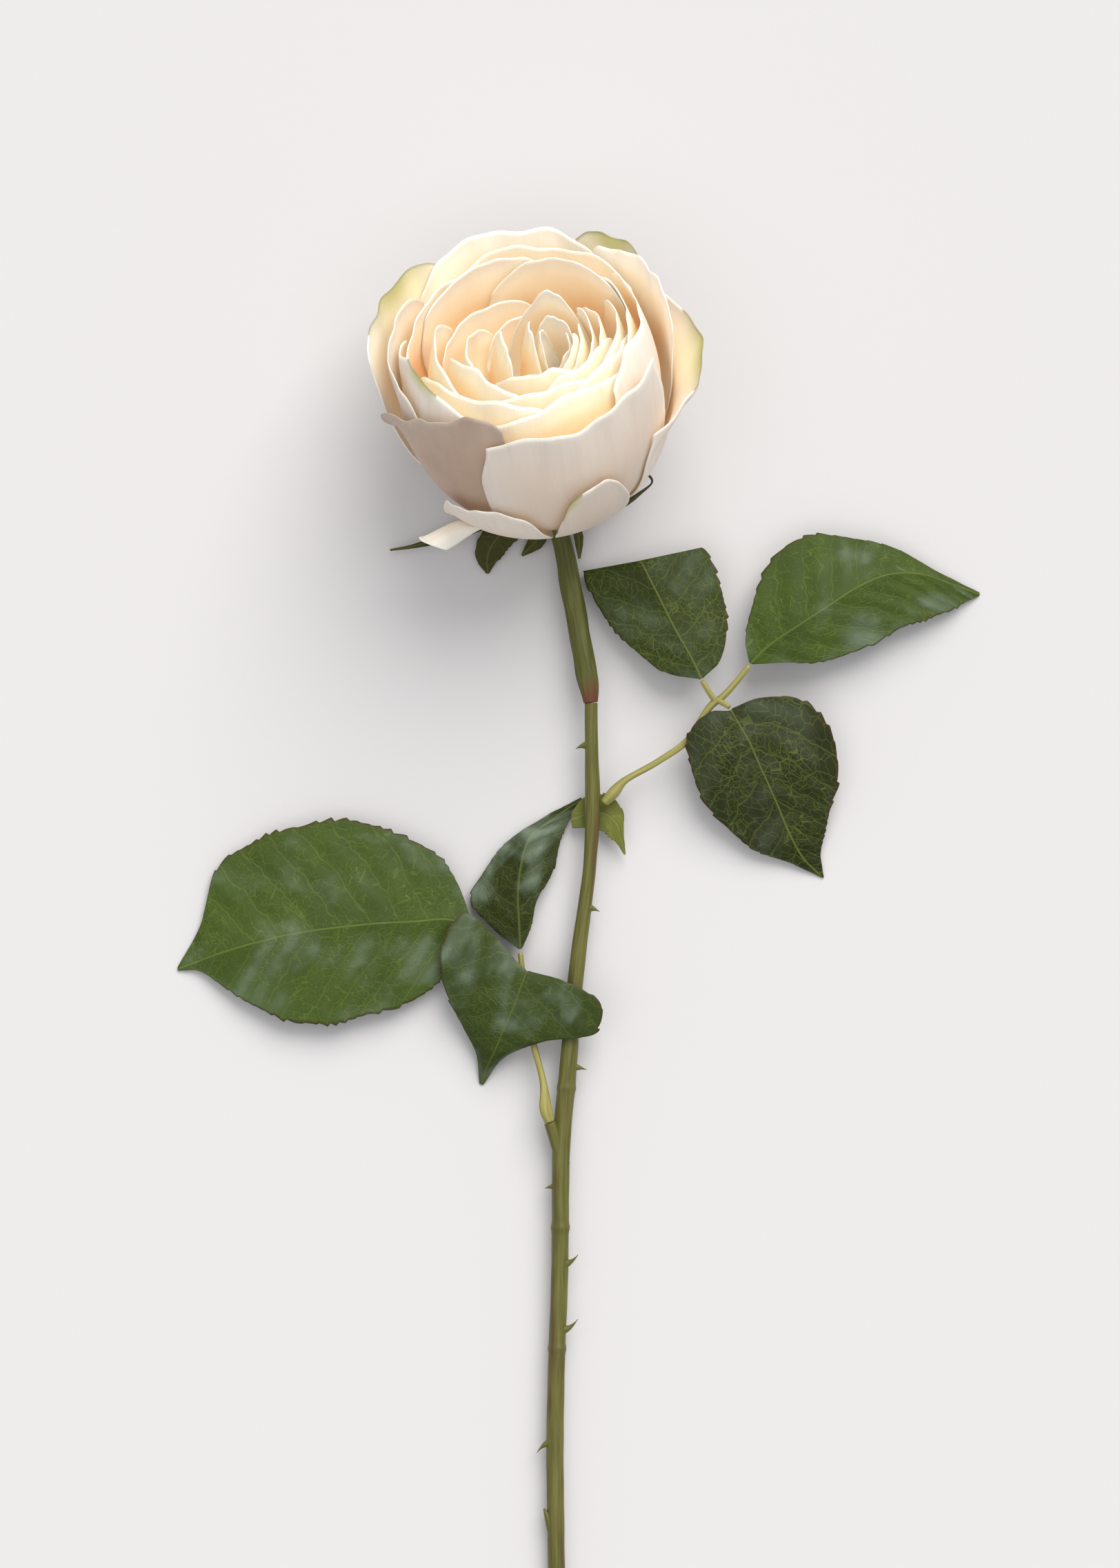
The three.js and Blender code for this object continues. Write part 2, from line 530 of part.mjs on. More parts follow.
const leaves = {
  leaf_upper_left: [
    [[40.4, 257.6, 12.2], [40.9, 257.9, 12.4], [41.4, 258.1, 12.2]],
    [[30, 259.8, 10.6], [38, 264, 12.6], [46.5, 263.4, 11.8]],
    [[20.2, 267.2, 7.6], [33, 273, 12.2], [48.4, 275, 12.2]],
    [[11.4, 277.6, 4.6], [27.5, 284, 10.2], [46, 286.5, 11.2]],
    [[6.8, 288.8, 3.0], [23.2, 291.8, 7.6], [41.6, 295.6, 9.0]],
    [[8.6, 288.4, 1.3], [22.4, 289.6, 4.6], [37.6, 292.6, 5.6]],
    [[19.6, 283.2, 1.2], [20.2, 282.9, 1.4], [20.8, 282.6, 1.2]],
  ],
  leaf_upper_far: [
    [[54.6, 262.6, 12.2], [55.1, 262.3, 12.4], [55.6, 262, 12.2]],
    [[53.6, 269, 11.5], [60, 267.2, 13.2], [63.6, 262.4, 11.8]],
    [[55.6, 279.8, 10.5], [69, 273.4, 14], [76.8, 262.8, 11]],
    [[62.2, 294, 9], [78, 279.3, 14], [91, 268, 10]],
    [[72, 299.4, 8], [86, 284.4, 12.5], [99.4, 272.6, 9]],
    [[86, 298.4, 7], [95, 288, 10.5], [107, 275.2, 7]],
    [[97, 295.6, 6], [104, 288.2, 8], [113.4, 277.6, 5]],
    [[109, 289, 3.2], [112.5, 285.6, 3.9], [117.5, 280, 2.8]],
    [[121.5, 282.9, 0.5], [121.6, 282.4, 0.6], [121.5, 281.9, 0.5]],
  ],
  leaf_upper_near: [
    [[48.9, 248.3, 12.4], [49.4, 248.8, 12.6], [49.9, 249.3, 12.4]],
    [[43.2, 248.2, 12.6], [51.5, 245, 13.2], [58, 252.4, 12.5]],
    [[36.8, 241.5, 12.7], [54.5, 240, 13.2], [70.4, 251.6, 11]],
    [[37.6, 232, 12], [57.2, 234, 12.6], [79, 242, 9]],
    [[41, 223.2, 9], [60.2, 227.5, 10.8], [80.6, 228.8, 7]],
    [[47.4, 215.4, 6.5], [63.2, 220.8, 8.7], [78.6, 220.8, 6]],
    [[56.4, 208.2, 4.2], [66.5, 213, 6.2], [77, 214.2, 4.2]],
    [[66, 204.8, 2.4], [70.5, 206, 3.1], [75.6, 207.5, 2.4]],
    [[75.5, 200.6, 0.5], [76, 200.4, 0.6], [76.5, 200.2, 0.5]],
  ],
  leaf_lower_broad: [
    [[-25.4, 187.4, 6.6], [-25.4, 186.8, 6.8], [-25.4, 186.2, 6.6]],
    [[-30, 199.5, 5.6], [-33, 188.4, 7.6], [-33.5, 172, 5.4]],
    [[-36, 207.6, 6], [-42, 187.8, 8.6], [-41, 165.2, 6]],
    [[-46, 212.8, 6], [-53.2, 187.2, 9.6], [-53.2, 161, 6.8]],
    [[-60, 217.2, 5.5], [-64.5, 186, 9.8], [-65, 158, 7]],
    [[-74.6, 215.8, 5], [-76, 184.4, 9.2], [-76, 158, 6.5]],
    [[-88, 211.4, 4], [-88, 181.6, 7.6], [-88, 162.6, 5]],
    [[-99, 203.6, 3], [-98, 178.6, 5.2], [-98, 169, 3.5]],
    [[-104.4, 186, 2], [-105, 176, 2.5], [-104.6, 173.2, 2]],
    [[-110.8, 174.3, 0.5], [-110.8, 173.8, 0.6], [-110.8, 173.3, 0.5]],
  ],
  leaf_lower_back: [
    [[-12, 179.6, 7.4], [-11.5, 179.7, 7.6], [-11, 179.8, 7.4]],
    [[-20, 186, 5.2], [-11.8, 186.5, 8], [-8.4, 186, 6]],
    [[-26, 194, 3.6], [-12.2, 195.6, 8], [-6.8, 193.2, 5.2]],
    [[-21.5, 203, 3.4], [-11.2, 204, 7.4], [-1.6, 203, 4]],
    [[-15.5, 210.5, 2.8], [-8.5, 212, 5.2], [0.4, 211.4, 3]],
    [[-5.6, 217.2, 2], [-1.4, 217.6, 2.8], [3, 217.6, 2]],
    [[6, 223.4, 0.9], [6.3, 223.1, 1.0], [6.6, 222.8, 0.9]],
  ],
  leaf_lower_front: [
    [[-10.2, 173.8, 12.4], [-9.6, 173.3, 12.6], [-8.8, 173.2, 12.4]],
    [[-27.5, 190, 11.4], [-11, 169.6, 13.4], [2, 170.2, 13.6]],
    [[-34.6, 181, 10.6], [-13, 164, 13], [12.4, 163.4, 13.4]],
    [[-33, 167.4, 8.8], [-16, 157, 11.2], [10.4, 155.6, 11.8]],
    [[-28, 157, 5.8], [-19, 149.8, 8], [-4, 153.3, 10]],
    [[-24.2, 149.5, 3.6], [-21.3, 145, 4.2], [-16.4, 148.2, 5.2]],
    [[-23.3, 140.6, 0.5], [-22.8, 140.4, 0.6], [-22.3, 140.2, 0.5]],
  ],
};
for (const [name, rows] of Object.entries(leaves)) {
  addPiece(name, blade(rows, LEAF_THICKNESS), LEAF_GREEN, 0.6);
}

// ---------------------------------------------------------------- petioles
// A leaf stalk with a swollen foot; the side leaflets' short stalks join it at the hub.
function petiole(main, branches) {
  const shapes = [main, ...branches].map((stations) =>
    limb(
      stations.map(([x, y, z, k]) => [x, y, z, k * PETIOLE_RADIUS]),
      stations === main ? 14 : 4,
      8,
    ),
  );
  return joined(shapes);
}

const UPPER_NODE = 221.6; // y of the upper leaf's joint
const [nodeX, , nodeZ, nodeRadius] = stemAt(UPPER_NODE);
const upperFoot = nodeX + nodeRadius + PETIOLE_RADIUS + GAP;
addPiece(
  'petiole_upper',
  petiole(
    [
      [upperFoot, UPPER_NODE + 0.4, nodeZ + 0.5, 1.3],
      [upperFoot + 2.6, UPPER_NODE + 3.2, nodeZ + 1.2, 1.8],
      [18.6, 228.2, 9.6, 1.15],
      [28.8, 234.2, 10.0, 1],
      [37, 240.2, 9.8, 1],
      [43.6, 250, 10.4, 1.05],
      [47, 252.6, 11.2, 1.0],
      [54.8, 261.6, 12.3, 0.8],
    ],
    [
      [[44.8, 251.4, 10.8, 0.9], [43, 254, 11.6, 0.85], [41.1, 257.1, 12.3, 0.75]],
      [[45.2, 251.8, 10.9, 0.9], [47.4, 250.6, 11.8, 0.85], [48.9, 249.6, 12.5, 0.75]],
    ],
  ),
  PETIOLE_GREEN,
  0.6,
);
addPiece(
  'petiole_lower',
  petiole(
    [
      beyondSocket(1.4 * GAP, 1.5),
      beyondSocket(4, 1.8),
      [-4.8, 141, 7.3, 1.1],
      [-7.6, 152, 6.9, 1],
      [-10.4, 168, 7.4, 1],
      [-11.4, 178.6, 7.6, 0.8],
    ],
    [
      [[-10.6, 171, 7.4, 0.9], [-17, 179.6, 7.2, 0.85], [-24.8, 186.5, 6.9, 0.75]],
      [[-10.4, 168.4, 7.3, 0.9], [-10.2, 171.4, 10, 0.85], [-9.8, 172.9, 11.8, 0.75]],
    ],
  ),
  PETIOLE_GREEN,
  0.6,
);

// The papery scale behind the upper leaf's foot, passing under the stem.
const stipuleRows = [
  [[3.4, 219.4, 4.2], [3.2, 217.2, 4.2], [3.6, 214.6, 4.2]],
  [[7.0, 223.6, 4.5], [7.6, 218.6, 4.4], [8.4, 214.6, 4.4]],
  [[13.2, 224.4, 5.0], [13.2, 218.8, 5.0], [13, 213.4, 5.0]],
  [[18.2, 219.8, 5.4], [16.8, 215.4, 5.4], [14.6, 211.6, 5.2]],
  [[18.4, 213.4, 5.2], [17.6, 212.2, 5.2], [16.2, 210.4, 5.0]],
  [[19.0, 207.2, 4.6], [18.8, 207, 4.6], [18.6, 206.8, 4.6]],
];
addPiece('stipule', blade(stipuleRows, LEAF_THICKNESS, 8, 4), NECK_GREEN, 0.6);

// ---------------------------------------------------------------- sepals
// Five green sepals spring from the hip. A middle line's stations are [x, y, height, half
// width]: x and y from the hip's foot, and the height as a share of the hip's own height.
function sepal(line, twist) {
  const path = new THREE.CatmullRomCurve3(
    line.map(([x, y, share]) => new THREE.Vector3(HIP_X + x, HIP_Y + y, hipFoot.z * share)),
    false,
    'centripetal',
  );
  const steps = 3 * (line.length - 1);
  const last = line.length - 1;
  const rows = [];
  for (let i = 0; i <= steps; i += 1) {
    const t = i / steps;
    const k = Math.min(Math.floor(t * last), last - 1);
    const half = mix(line[k][3], line[k + 1][3], smooth(t * last - k));
    const along = path.getTangent(t);
    const side = new THREE.Vector3(along.y, -along.x, 0).normalize();
    side.applyAxisAngle(along, THREE.MathUtils.degToRad(twist * t));
    const centre = path.getPoint(t);
    rows.push([-1, -0.5, 0, 0.5, 1].map((k2) => centre.clone().addScaledVector(side, k2 * half)));
  }
  return sheetSolid(rows, LEAF_THICKNESS);
}

const sepals = {
  sepal_hanging: { twist: 0, line: [
    [-6.1, 0, 1.12, 1.6], [-11.5, -2.6, 0.65, 3.4], [-16.9, -6.2, 0.38, 4.4],
    [-19.5, -11.2, 0.24, 3.6], [-19.5, -16.2, 0.15, 0.3],
  ] },
  sepal_left: { twist: 0, line: [
    [-3.7, -3.2, 0.59, 1.4], [-5.1, -6.4, 0.38, 2.4], [-9.5, -11, 0.21, 0.3],
  ] },
  sepal_small: { twist: 0, line: [
    [5.9, -1, 1.06, 1], [6.9, -6, 0.94, 1.3], [7.1, -12, 0.82, 0.3],
  ] },
  sepal_curled: { twist: 120, line: [
    [6.9, 4, 1.65, 1.4], [12.5, 1, 1.38, 1.2], [18.5, 3, 1.29, 1.3],
    [24.5, 6.8, 1.47, 1], [28.1, 10.4, 1.68, 0.8], [24.7, 14, 1.71, 0.3],
  ] },
  sepal_long: { twist: 0, line: [
    [-6.7, 5, 1.56, 1.4], [-18.5, -0.6, 0.94, 2], [-31.5, -5.6, 0.59, 1.5],
    [-40.5, -8.2, 0.44, 0.6], [-47.7, -9.4, 0.35, 0.25],
  ] },
};
for (const [name, shape] of Object.entries(sepals)) {
  addPiece(name, sepal(shape.line, shape.twist), LEAF_GREEN, 0.6);
}

// ---------------------------------------------------------------- origin
// Everything moves so that the middle of the bounding box's lower face is the origin.
const box = new THREE.Box3().setFromObject(group);
const shift = new THREE.Vector3(
  -(box.min.x + box.max.x) / 2,
  -(box.min.y + box.max.y) / 2,
  -box.min.z,
);
for (const mesh of group.children) mesh.geometry.translate(shift.x, shift.y, shift.z);

export default group;
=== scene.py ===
# %% [markdown]
# # A cut rose
# The rose lies on its back on a pale table: a full bloom of forty cloth petals, a moulded
# stem with thorns, and two sprays of leaves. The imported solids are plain; this lesson makes
# the fine surfaces that are seen in their place, one kind of piece at a time.

# %% Load the frame
import bmesh
import bpy
import math
import numpy as np
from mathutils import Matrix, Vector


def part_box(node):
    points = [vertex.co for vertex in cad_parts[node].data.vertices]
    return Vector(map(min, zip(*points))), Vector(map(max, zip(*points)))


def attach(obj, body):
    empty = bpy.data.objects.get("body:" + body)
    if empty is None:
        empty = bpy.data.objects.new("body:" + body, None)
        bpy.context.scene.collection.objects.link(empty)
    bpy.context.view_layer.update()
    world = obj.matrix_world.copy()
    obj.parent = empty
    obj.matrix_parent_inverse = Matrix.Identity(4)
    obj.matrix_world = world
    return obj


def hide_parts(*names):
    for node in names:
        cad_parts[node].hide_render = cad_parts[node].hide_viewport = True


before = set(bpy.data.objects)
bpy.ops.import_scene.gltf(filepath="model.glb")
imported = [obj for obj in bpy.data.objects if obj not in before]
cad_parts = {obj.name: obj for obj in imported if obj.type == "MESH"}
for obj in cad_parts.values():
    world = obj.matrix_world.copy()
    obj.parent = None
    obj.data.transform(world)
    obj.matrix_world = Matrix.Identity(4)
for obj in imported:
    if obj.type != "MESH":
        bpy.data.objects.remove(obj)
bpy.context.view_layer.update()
MM = 0.001

# %% [markdown]
# The bloom, stem and leaves are drawn in millimetres round one drawing origin, as a maker
# would draw them. The frame's origin is elsewhere, so two known corners say how far the
# drawing has to move: the cut end of the stem and the tip of the broad leaf.

# %% From the drawing to the frame
STEM_CUT_Y = -111.0
STEM_CUT_FLOOR = 0.1
BROAD_TIP_X = -110.8
stem_low = np.array(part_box("stem")[0]) / MM
leaf_low = np.array(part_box("leaf_lower_broad")[0]) / MM
drawing_shift = np.array([
    leaf_low[0] - BROAD_TIP_X,
    stem_low[1] - STEM_CUT_Y,
    stem_low[2] - STEM_CUT_FLOOR,
])
print("drawing shift in mm", drawing_shift.round(2))

# %% [markdown]
# A surface is a grid of points, rows by columns. One helper turns any grid into a mesh:
# it numbers the corners of every quad with array sums, with no loop over the points, and
# stores what a material will want to know, such as how far a point lies from the rim.


# %% Grid to mesh
def smooth(x):
    """Zero below 0, one above 1, and 3x^2 - 2x^3 between."""
    t = np.clip(x, 0.0, 1.0)
    return t * t * (3 - 2 * t)


def grid_quads(rows, columns, wrap=False):
    """Corner numbers of each quad: point, its right neighbour, and the two above them."""
    steps_across = columns if wrap else columns - 1
    i, j = np.meshgrid(np.arange(rows - 1), np.arange(steps_across), indexing="ij")
    here = i * columns + j
    beside = i * columns + (j + 1) % columns
    return np.stack([here, beside, beside + columns, here + columns], axis=-1).reshape(-1, 4)


def make_piece(name, points, faces, facts, materials, slot, uv=None):
    """A mesh object from points in drawing millimetres; facts are numbers for every point."""
    mesh = bpy.data.meshes.new(name)
    place = (np.asarray(points).reshape(-1, 3) + drawing_shift) * MM
    mesh.from_pydata(place.tolist(), [], [tuple(f) for f in faces])
    for fact, values in facts.items():
        layer = mesh.attributes.new(fact, "FLOAT", "POINT")
        layer.data.foreach_set("value", np.asarray(values, dtype=np.float32).ravel())
    if uv is not None:
        corner = np.empty(len(mesh.loops), dtype=np.int32)
        mesh.loops.foreach_get("vertex_index", corner)
        layer = mesh.uv_layers.new(name="flat")
        flat = np.asarray(uv, dtype=np.float32).reshape(-1, 2)
        layer.data.foreach_set("uv", flat[corner].ravel())
    mesh.polygons.foreach_set("use_smooth", np.ones(len(mesh.polygons), dtype=bool))
    mesh.update()
    piece = bpy.data.objects.new(name, mesh)
    bpy.context.scene.collection.objects.link(piece)
    for material in materials:
        mesh.materials.append(material)
    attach(piece, "root")
    return piece


def thicken(piece, thickness, under, rim):
    """Gives a sheet its two skins: under and rim are the materials of its back and its edge."""
    wall = piece.modifiers.new("thickness", "SOLIDIFY")
    wall.thickness = thickness * MM
    wall.offset = 0.0
    wall.use_even_offset = False
    wall.material_offset = under
    wall.material_offset_rim = rim


# %% [markdown]
# Materials are sums and mixes of patterns. Written as nodes they grow long, so one small
# class holds an output socket and lets +, -, * and / make the Math nodes.


# %% Shader arithmetic
class Flow:
    """One socket of a material's nodes. Arithmetic on it makes Math nodes."""

    def __init__(self, tree, socket):
        self.tree = tree
        self.socket = socket

    def plug(self, target, value):
        if isinstance(value, Flow):
            self.tree.links.new(value.socket, target)
        else:
            target.default_value = value

    def node(self, kind, settings=None, sockets=None, out=0):
        """Any node: its type, its settings, and what goes into its sockets."""
        made = self.tree.nodes.new(kind)
        for key, value in (settings or {}).items():
            setattr(made, key, value)
        for key, value in (sockets or {}).items():
            self.plug(made.inputs[key], value)
        return Flow(self.tree, made.outputs[out])

    def math(self, operation, a, b=0.0):
        return self.node("ShaderNodeMath", {"operation": operation}, {0: a, 1: b})

    def __add__(self, other):
        return self.math("ADD", self, other)

    def __radd__(self, other):
        return self.math("ADD", other, self)

    def __sub__(self, other):
        return self.math("SUBTRACT", self, other)

    def __rsub__(self, other):
        return self.math("SUBTRACT", other, self)

    def __mul__(self, other):
        return self.math("MULTIPLY", self, other)

    def __rmul__(self, other):
        return self.math("MULTIPLY", other, self)

    def __truediv__(self, other):
        return self.math("DIVIDE", self, other)

    def __rtruediv__(self, other):
        return self.math("DIVIDE", other, self)

    def absolute(self):
        return self.math("ABSOLUTE", self)

    def fraction(self):
        return self.math("FRACT", self)

    def between(self, low, high):
        """Smoothly 0 at low and 1 at high."""
        return self.node(
            "ShaderNodeMapRange",
            {"interpolation_type": "SMOOTHSTEP"},
            {"Value": self, "From Min": low, "From Max": high, "To Min": 0.0, "To Max": 1.0},
        )

    def blend(self, first, second):
        """The colour first where this is 0 and second where it is 1."""
        made = self.tree.nodes.new("ShaderNodeMix")
        made.data_type = "RGBA"
        self.plug(made.inputs[0], self)
        for target, colour in ((made.inputs[6], first), (made.inputs[7], second)):
            self.plug(target, colour if isinstance(colour, Flow) else (*colour, 1.0))
        return Flow(self.tree, made.outputs[2])


def new_material(name, roughness, specular=0.5, **constants):
    """A material with its Principled shader; returns it, a Flow to build with, and the shader."""
    material = bpy.data.materials.new(name)
    material.use_nodes = True
    tree = material.node_tree
    shader = tree.nodes["Principled BSDF"]
    shader.inputs["Roughness"].default_value = roughness
    shader.inputs["Specular IOR Level"].default_value = specular
    for key, value in constants.items():
        shader.inputs[key.replace("_", " ")].default_value = value
    place = Flow(tree, tree.nodes.new("ShaderNodeTexCoord").outputs["Object"])
    return material, place, shader


def fact(flow, name):
    """A number that make_piece stored for every point."""
    return flow.node("ShaderNodeAttribute", {"attribute_name": name}, out="Fac")


def noise(flow, where, scale, detail=3.0, roughness=0.5):
    """Soft random patches from 0 to 1; a larger scale makes them finer."""
    return flow.node(
        "ShaderNodeTexNoise",
        {},
        {"Vector": where, "Scale": scale, "Detail": detail, "Roughness": roughness},
    )


def point(flow, x, y, z=0.0):
    return flow.node("ShaderNodeCombineXYZ", {}, {"X": x, "Y": y, "Z": z})


def bump(flow, shader, height, distance, strength):
    normal = flow.node(
        "ShaderNodeBump", {}, {"Strength": strength, "Distance": distance, "Height": height}
    )
    flow.plug(shader.inputs["Normal"], normal)


# %% [markdown]
# Each petal is dyed: nearly white at its rim, cream below it, and peach to orange deep down.
# The deepest orange and brown are partly the dye and partly painted shade, where the petals
# shade one another and light bounces warm between them. The outside is paler and a little
# pink, and the outer petals that lie in shade are painted darker, toward a dusky taupe. A few
# tips are dyed yellow-green, and fine ribs run from claw to rim. Thin cloth lets some light
# through. The shader could work that out; here the cloth gives off a little warm light
# instead, a painted glow that is full from a few mm below the rim.

# %% Petal materials
RIM_WHITE = (0.97, 0.93, 0.83)
RIM_GLOW = (0.1, 0.09, 0.08)
THROUGH_CLOTH = (1.0, 0.68, 0.38)
# The dusky taupe of the painted shade on outer petals that lie in shade.
SHADE_PAINT_COLOUR = (0.33, 0.2, 0.13)
TIP_GREEN = (0.5, 0.48, 0.1)
TIP_BROWN = (0.24, 0.2, 0.08)
MOTTLE_SHIFT = 7.0  # mm that a patch of dye moves the shades up or down


def petal_material(name, shades, low_shade, glow):
    """Shades are (distance below the rim in mm, colour); ribs of low_shade and mottling lie
    over them. Glow is how strongly the cloth gives off the light that would shine through."""
    material, place, shader = new_material(name, 0.62, 0.25, Sheen_Weight=0.1)
    depth = fact(place, "from_rim")
    across = fact(place, "across")
    patch = noise(place, place, 45.0, 4.0)
    wander = depth + (patch - 0.5) * MOTTLE_SHIFT
    # The deepest of the shades are partly painted shade: past the dye's cream and peach they turn
    # orange and brown where the petals shade one another.
    colour = shades[0][1]
    for (near, _), (far, shade) in zip(shades, shades[1:]):
        colour = wander.between(near, far).blend(colour, shade)
    drawn_out = point(place, across * 0.45, depth * 0.05, fact(place, "seed"))
    ribs = noise(place, drawn_out, 1.0, 4.0, 0.55)
    colour = (ribs.between(0.42, 0.72) * 0.25).blend(colour, low_shade)
    # Painted shade: outer petals that lie in shade are darkened toward a dusky taupe, by the amount
    # in their row of the table.
    colour = (fact(place, "painted_shade_amount") * (0.6 + patch * 0.4)).blend(colour, SHADE_PAINT_COLOUR)
    colour = fact(place, "green").blend(colour, TIP_GREEN)
    colour = fact(place, "bruise").blend(colour, TIP_BROWN)
    place.plug(shader.inputs["Base Color"], colour)
    shining = depth.between(0.5, 8.0).blend(RIM_GLOW, THROUGH_CLOTH)
    place.plug(shader.inputs["Emission Color"], shining)
    shader.inputs["Emission Strength"].default_value = glow
    grain = noise(place, place, 2600.0, 2.0)
    place.plug(shader.inputs["Roughness"], 0.52 + ribs * 0.2)
    bump(place, shader, ribs * 1.0 + grain * 0.1, 0.6 * MM, 0.35)
    return material


# The last, deepest colour of each list is partly painted shade.
petal_outside = petal_material(
    "petal_outside",
    [
        (0.0, RIM_WHITE), (3.0, (0.88, 0.8, 0.71)),
        (22.0, (0.82, 0.7, 0.59)), (60.0, (0.7, 0.5, 0.34)),
    ],
    (0.76, 0.62, 0.52),
    0.02,
)
petal_inside = petal_material(
    "petal_inside",
    [
        (0.0, RIM_WHITE), (3.0, (0.98, 0.93, 0.82)),
        (12.0, (0.97, 0.86, 0.67)), (26.0, (0.94, 0.62, 0.3)),
    ],
    (0.97, 0.85, 0.66),
    0.1,
)
petal_cream = petal_material(
    "petal_cream",
    [
        (0.0, RIM_WHITE), (3.0, (0.98, 0.9, 0.68)),
        (9.0, (0.94, 0.75, 0.45)), (18.0, (0.9, 0.5, 0.17)),
    ],
    (0.96, 0.77, 0.47),
    0.09,
)
petal_edge = petal_material(
    "petal_edge", [(0.0, RIM_WHITE), (30.0, (0.95, 0.88, 0.74))], RIM_WHITE, 0.05
)
print("petal materials", [m.name for m in (petal_outside, petal_inside, petal_cream, petal_edge)])

# %% [markdown]
# The bloom has its own frame: an axis out of its heart, a front that faces up from the
# table and a right side. Every petal is a part of a cup round that axis. The cups lie one
# inside the next like the shells of an onion, so no petal cuts through another. Petals
# placed freely by hand would look looser, but forty of them would soon cut each other.

# %% The bloom's frame and its petals
HEART_RADIUS = 4.4
LAYER_STEP = 1.1  # from one petal's cup to the next one outside it
COLUMN_RADIUS = 2.6  # the middle column that carries every petal
GAP = 0.3  # clearance between pieces that meet
OUTER_LAYER = 36
BLOOM_RADIUS = HEART_RADIUS + OUTER_LAYER * LAYER_STEP
HEART_SHIFT = 8.0  # how far the heart sits to the right of the axis
HEART_REACH = 36.0  # the radius at which that shift has faded away
BLOOM_PRESS = 1.0  # a full outermost cup would reach this far below the drawing's z = 0
HIP_X = -1.5
HIP_Y = 304.6
HIP_LENGTH = 6.5
nod = math.radians(45)
lean = math.radians(10)
axis = np.array([-math.sin(lean) * math.cos(nod), math.cos(lean) * math.cos(nod), math.sin(nod)])
right = np.array([math.cos(lean), math.sin(lean), 0.0])
front = np.cross(right, axis)
hip_top = -BLOOM_RADIUS - 0.4
hip_foot_height = hip_top - HIP_LENGTH - GAP
bloom_centre = np.array([
    HIP_X - hip_foot_height * axis[0],
    HIP_Y - hip_foot_height * axis[1],
    BLOOM_RADIUS - BLOOM_PRESS,
])
print("bloom radius", round(BLOOM_RADIUS, 2), "centre", bloom_centre.round(2))


def in_bloom(angle, radius, height):
    """Centre plus radius times the turned direction plus height along the axis. The heart
    sits to the right of the axis: a sideways shift that fades with radius and depth."""
    inner = 1 - smooth(radius / HEART_REACH)
    aside = HEART_SHIFT * inner * smooth((height + BLOOM_RADIUS) / BLOOM_RADIUS)
    across = radius * np.sin(angle) + aside
    return (
        bloom_centre
        + across[..., None] * right
        + (radius * np.cos(angle))[..., None] * front
        + height[..., None] * axis
    )


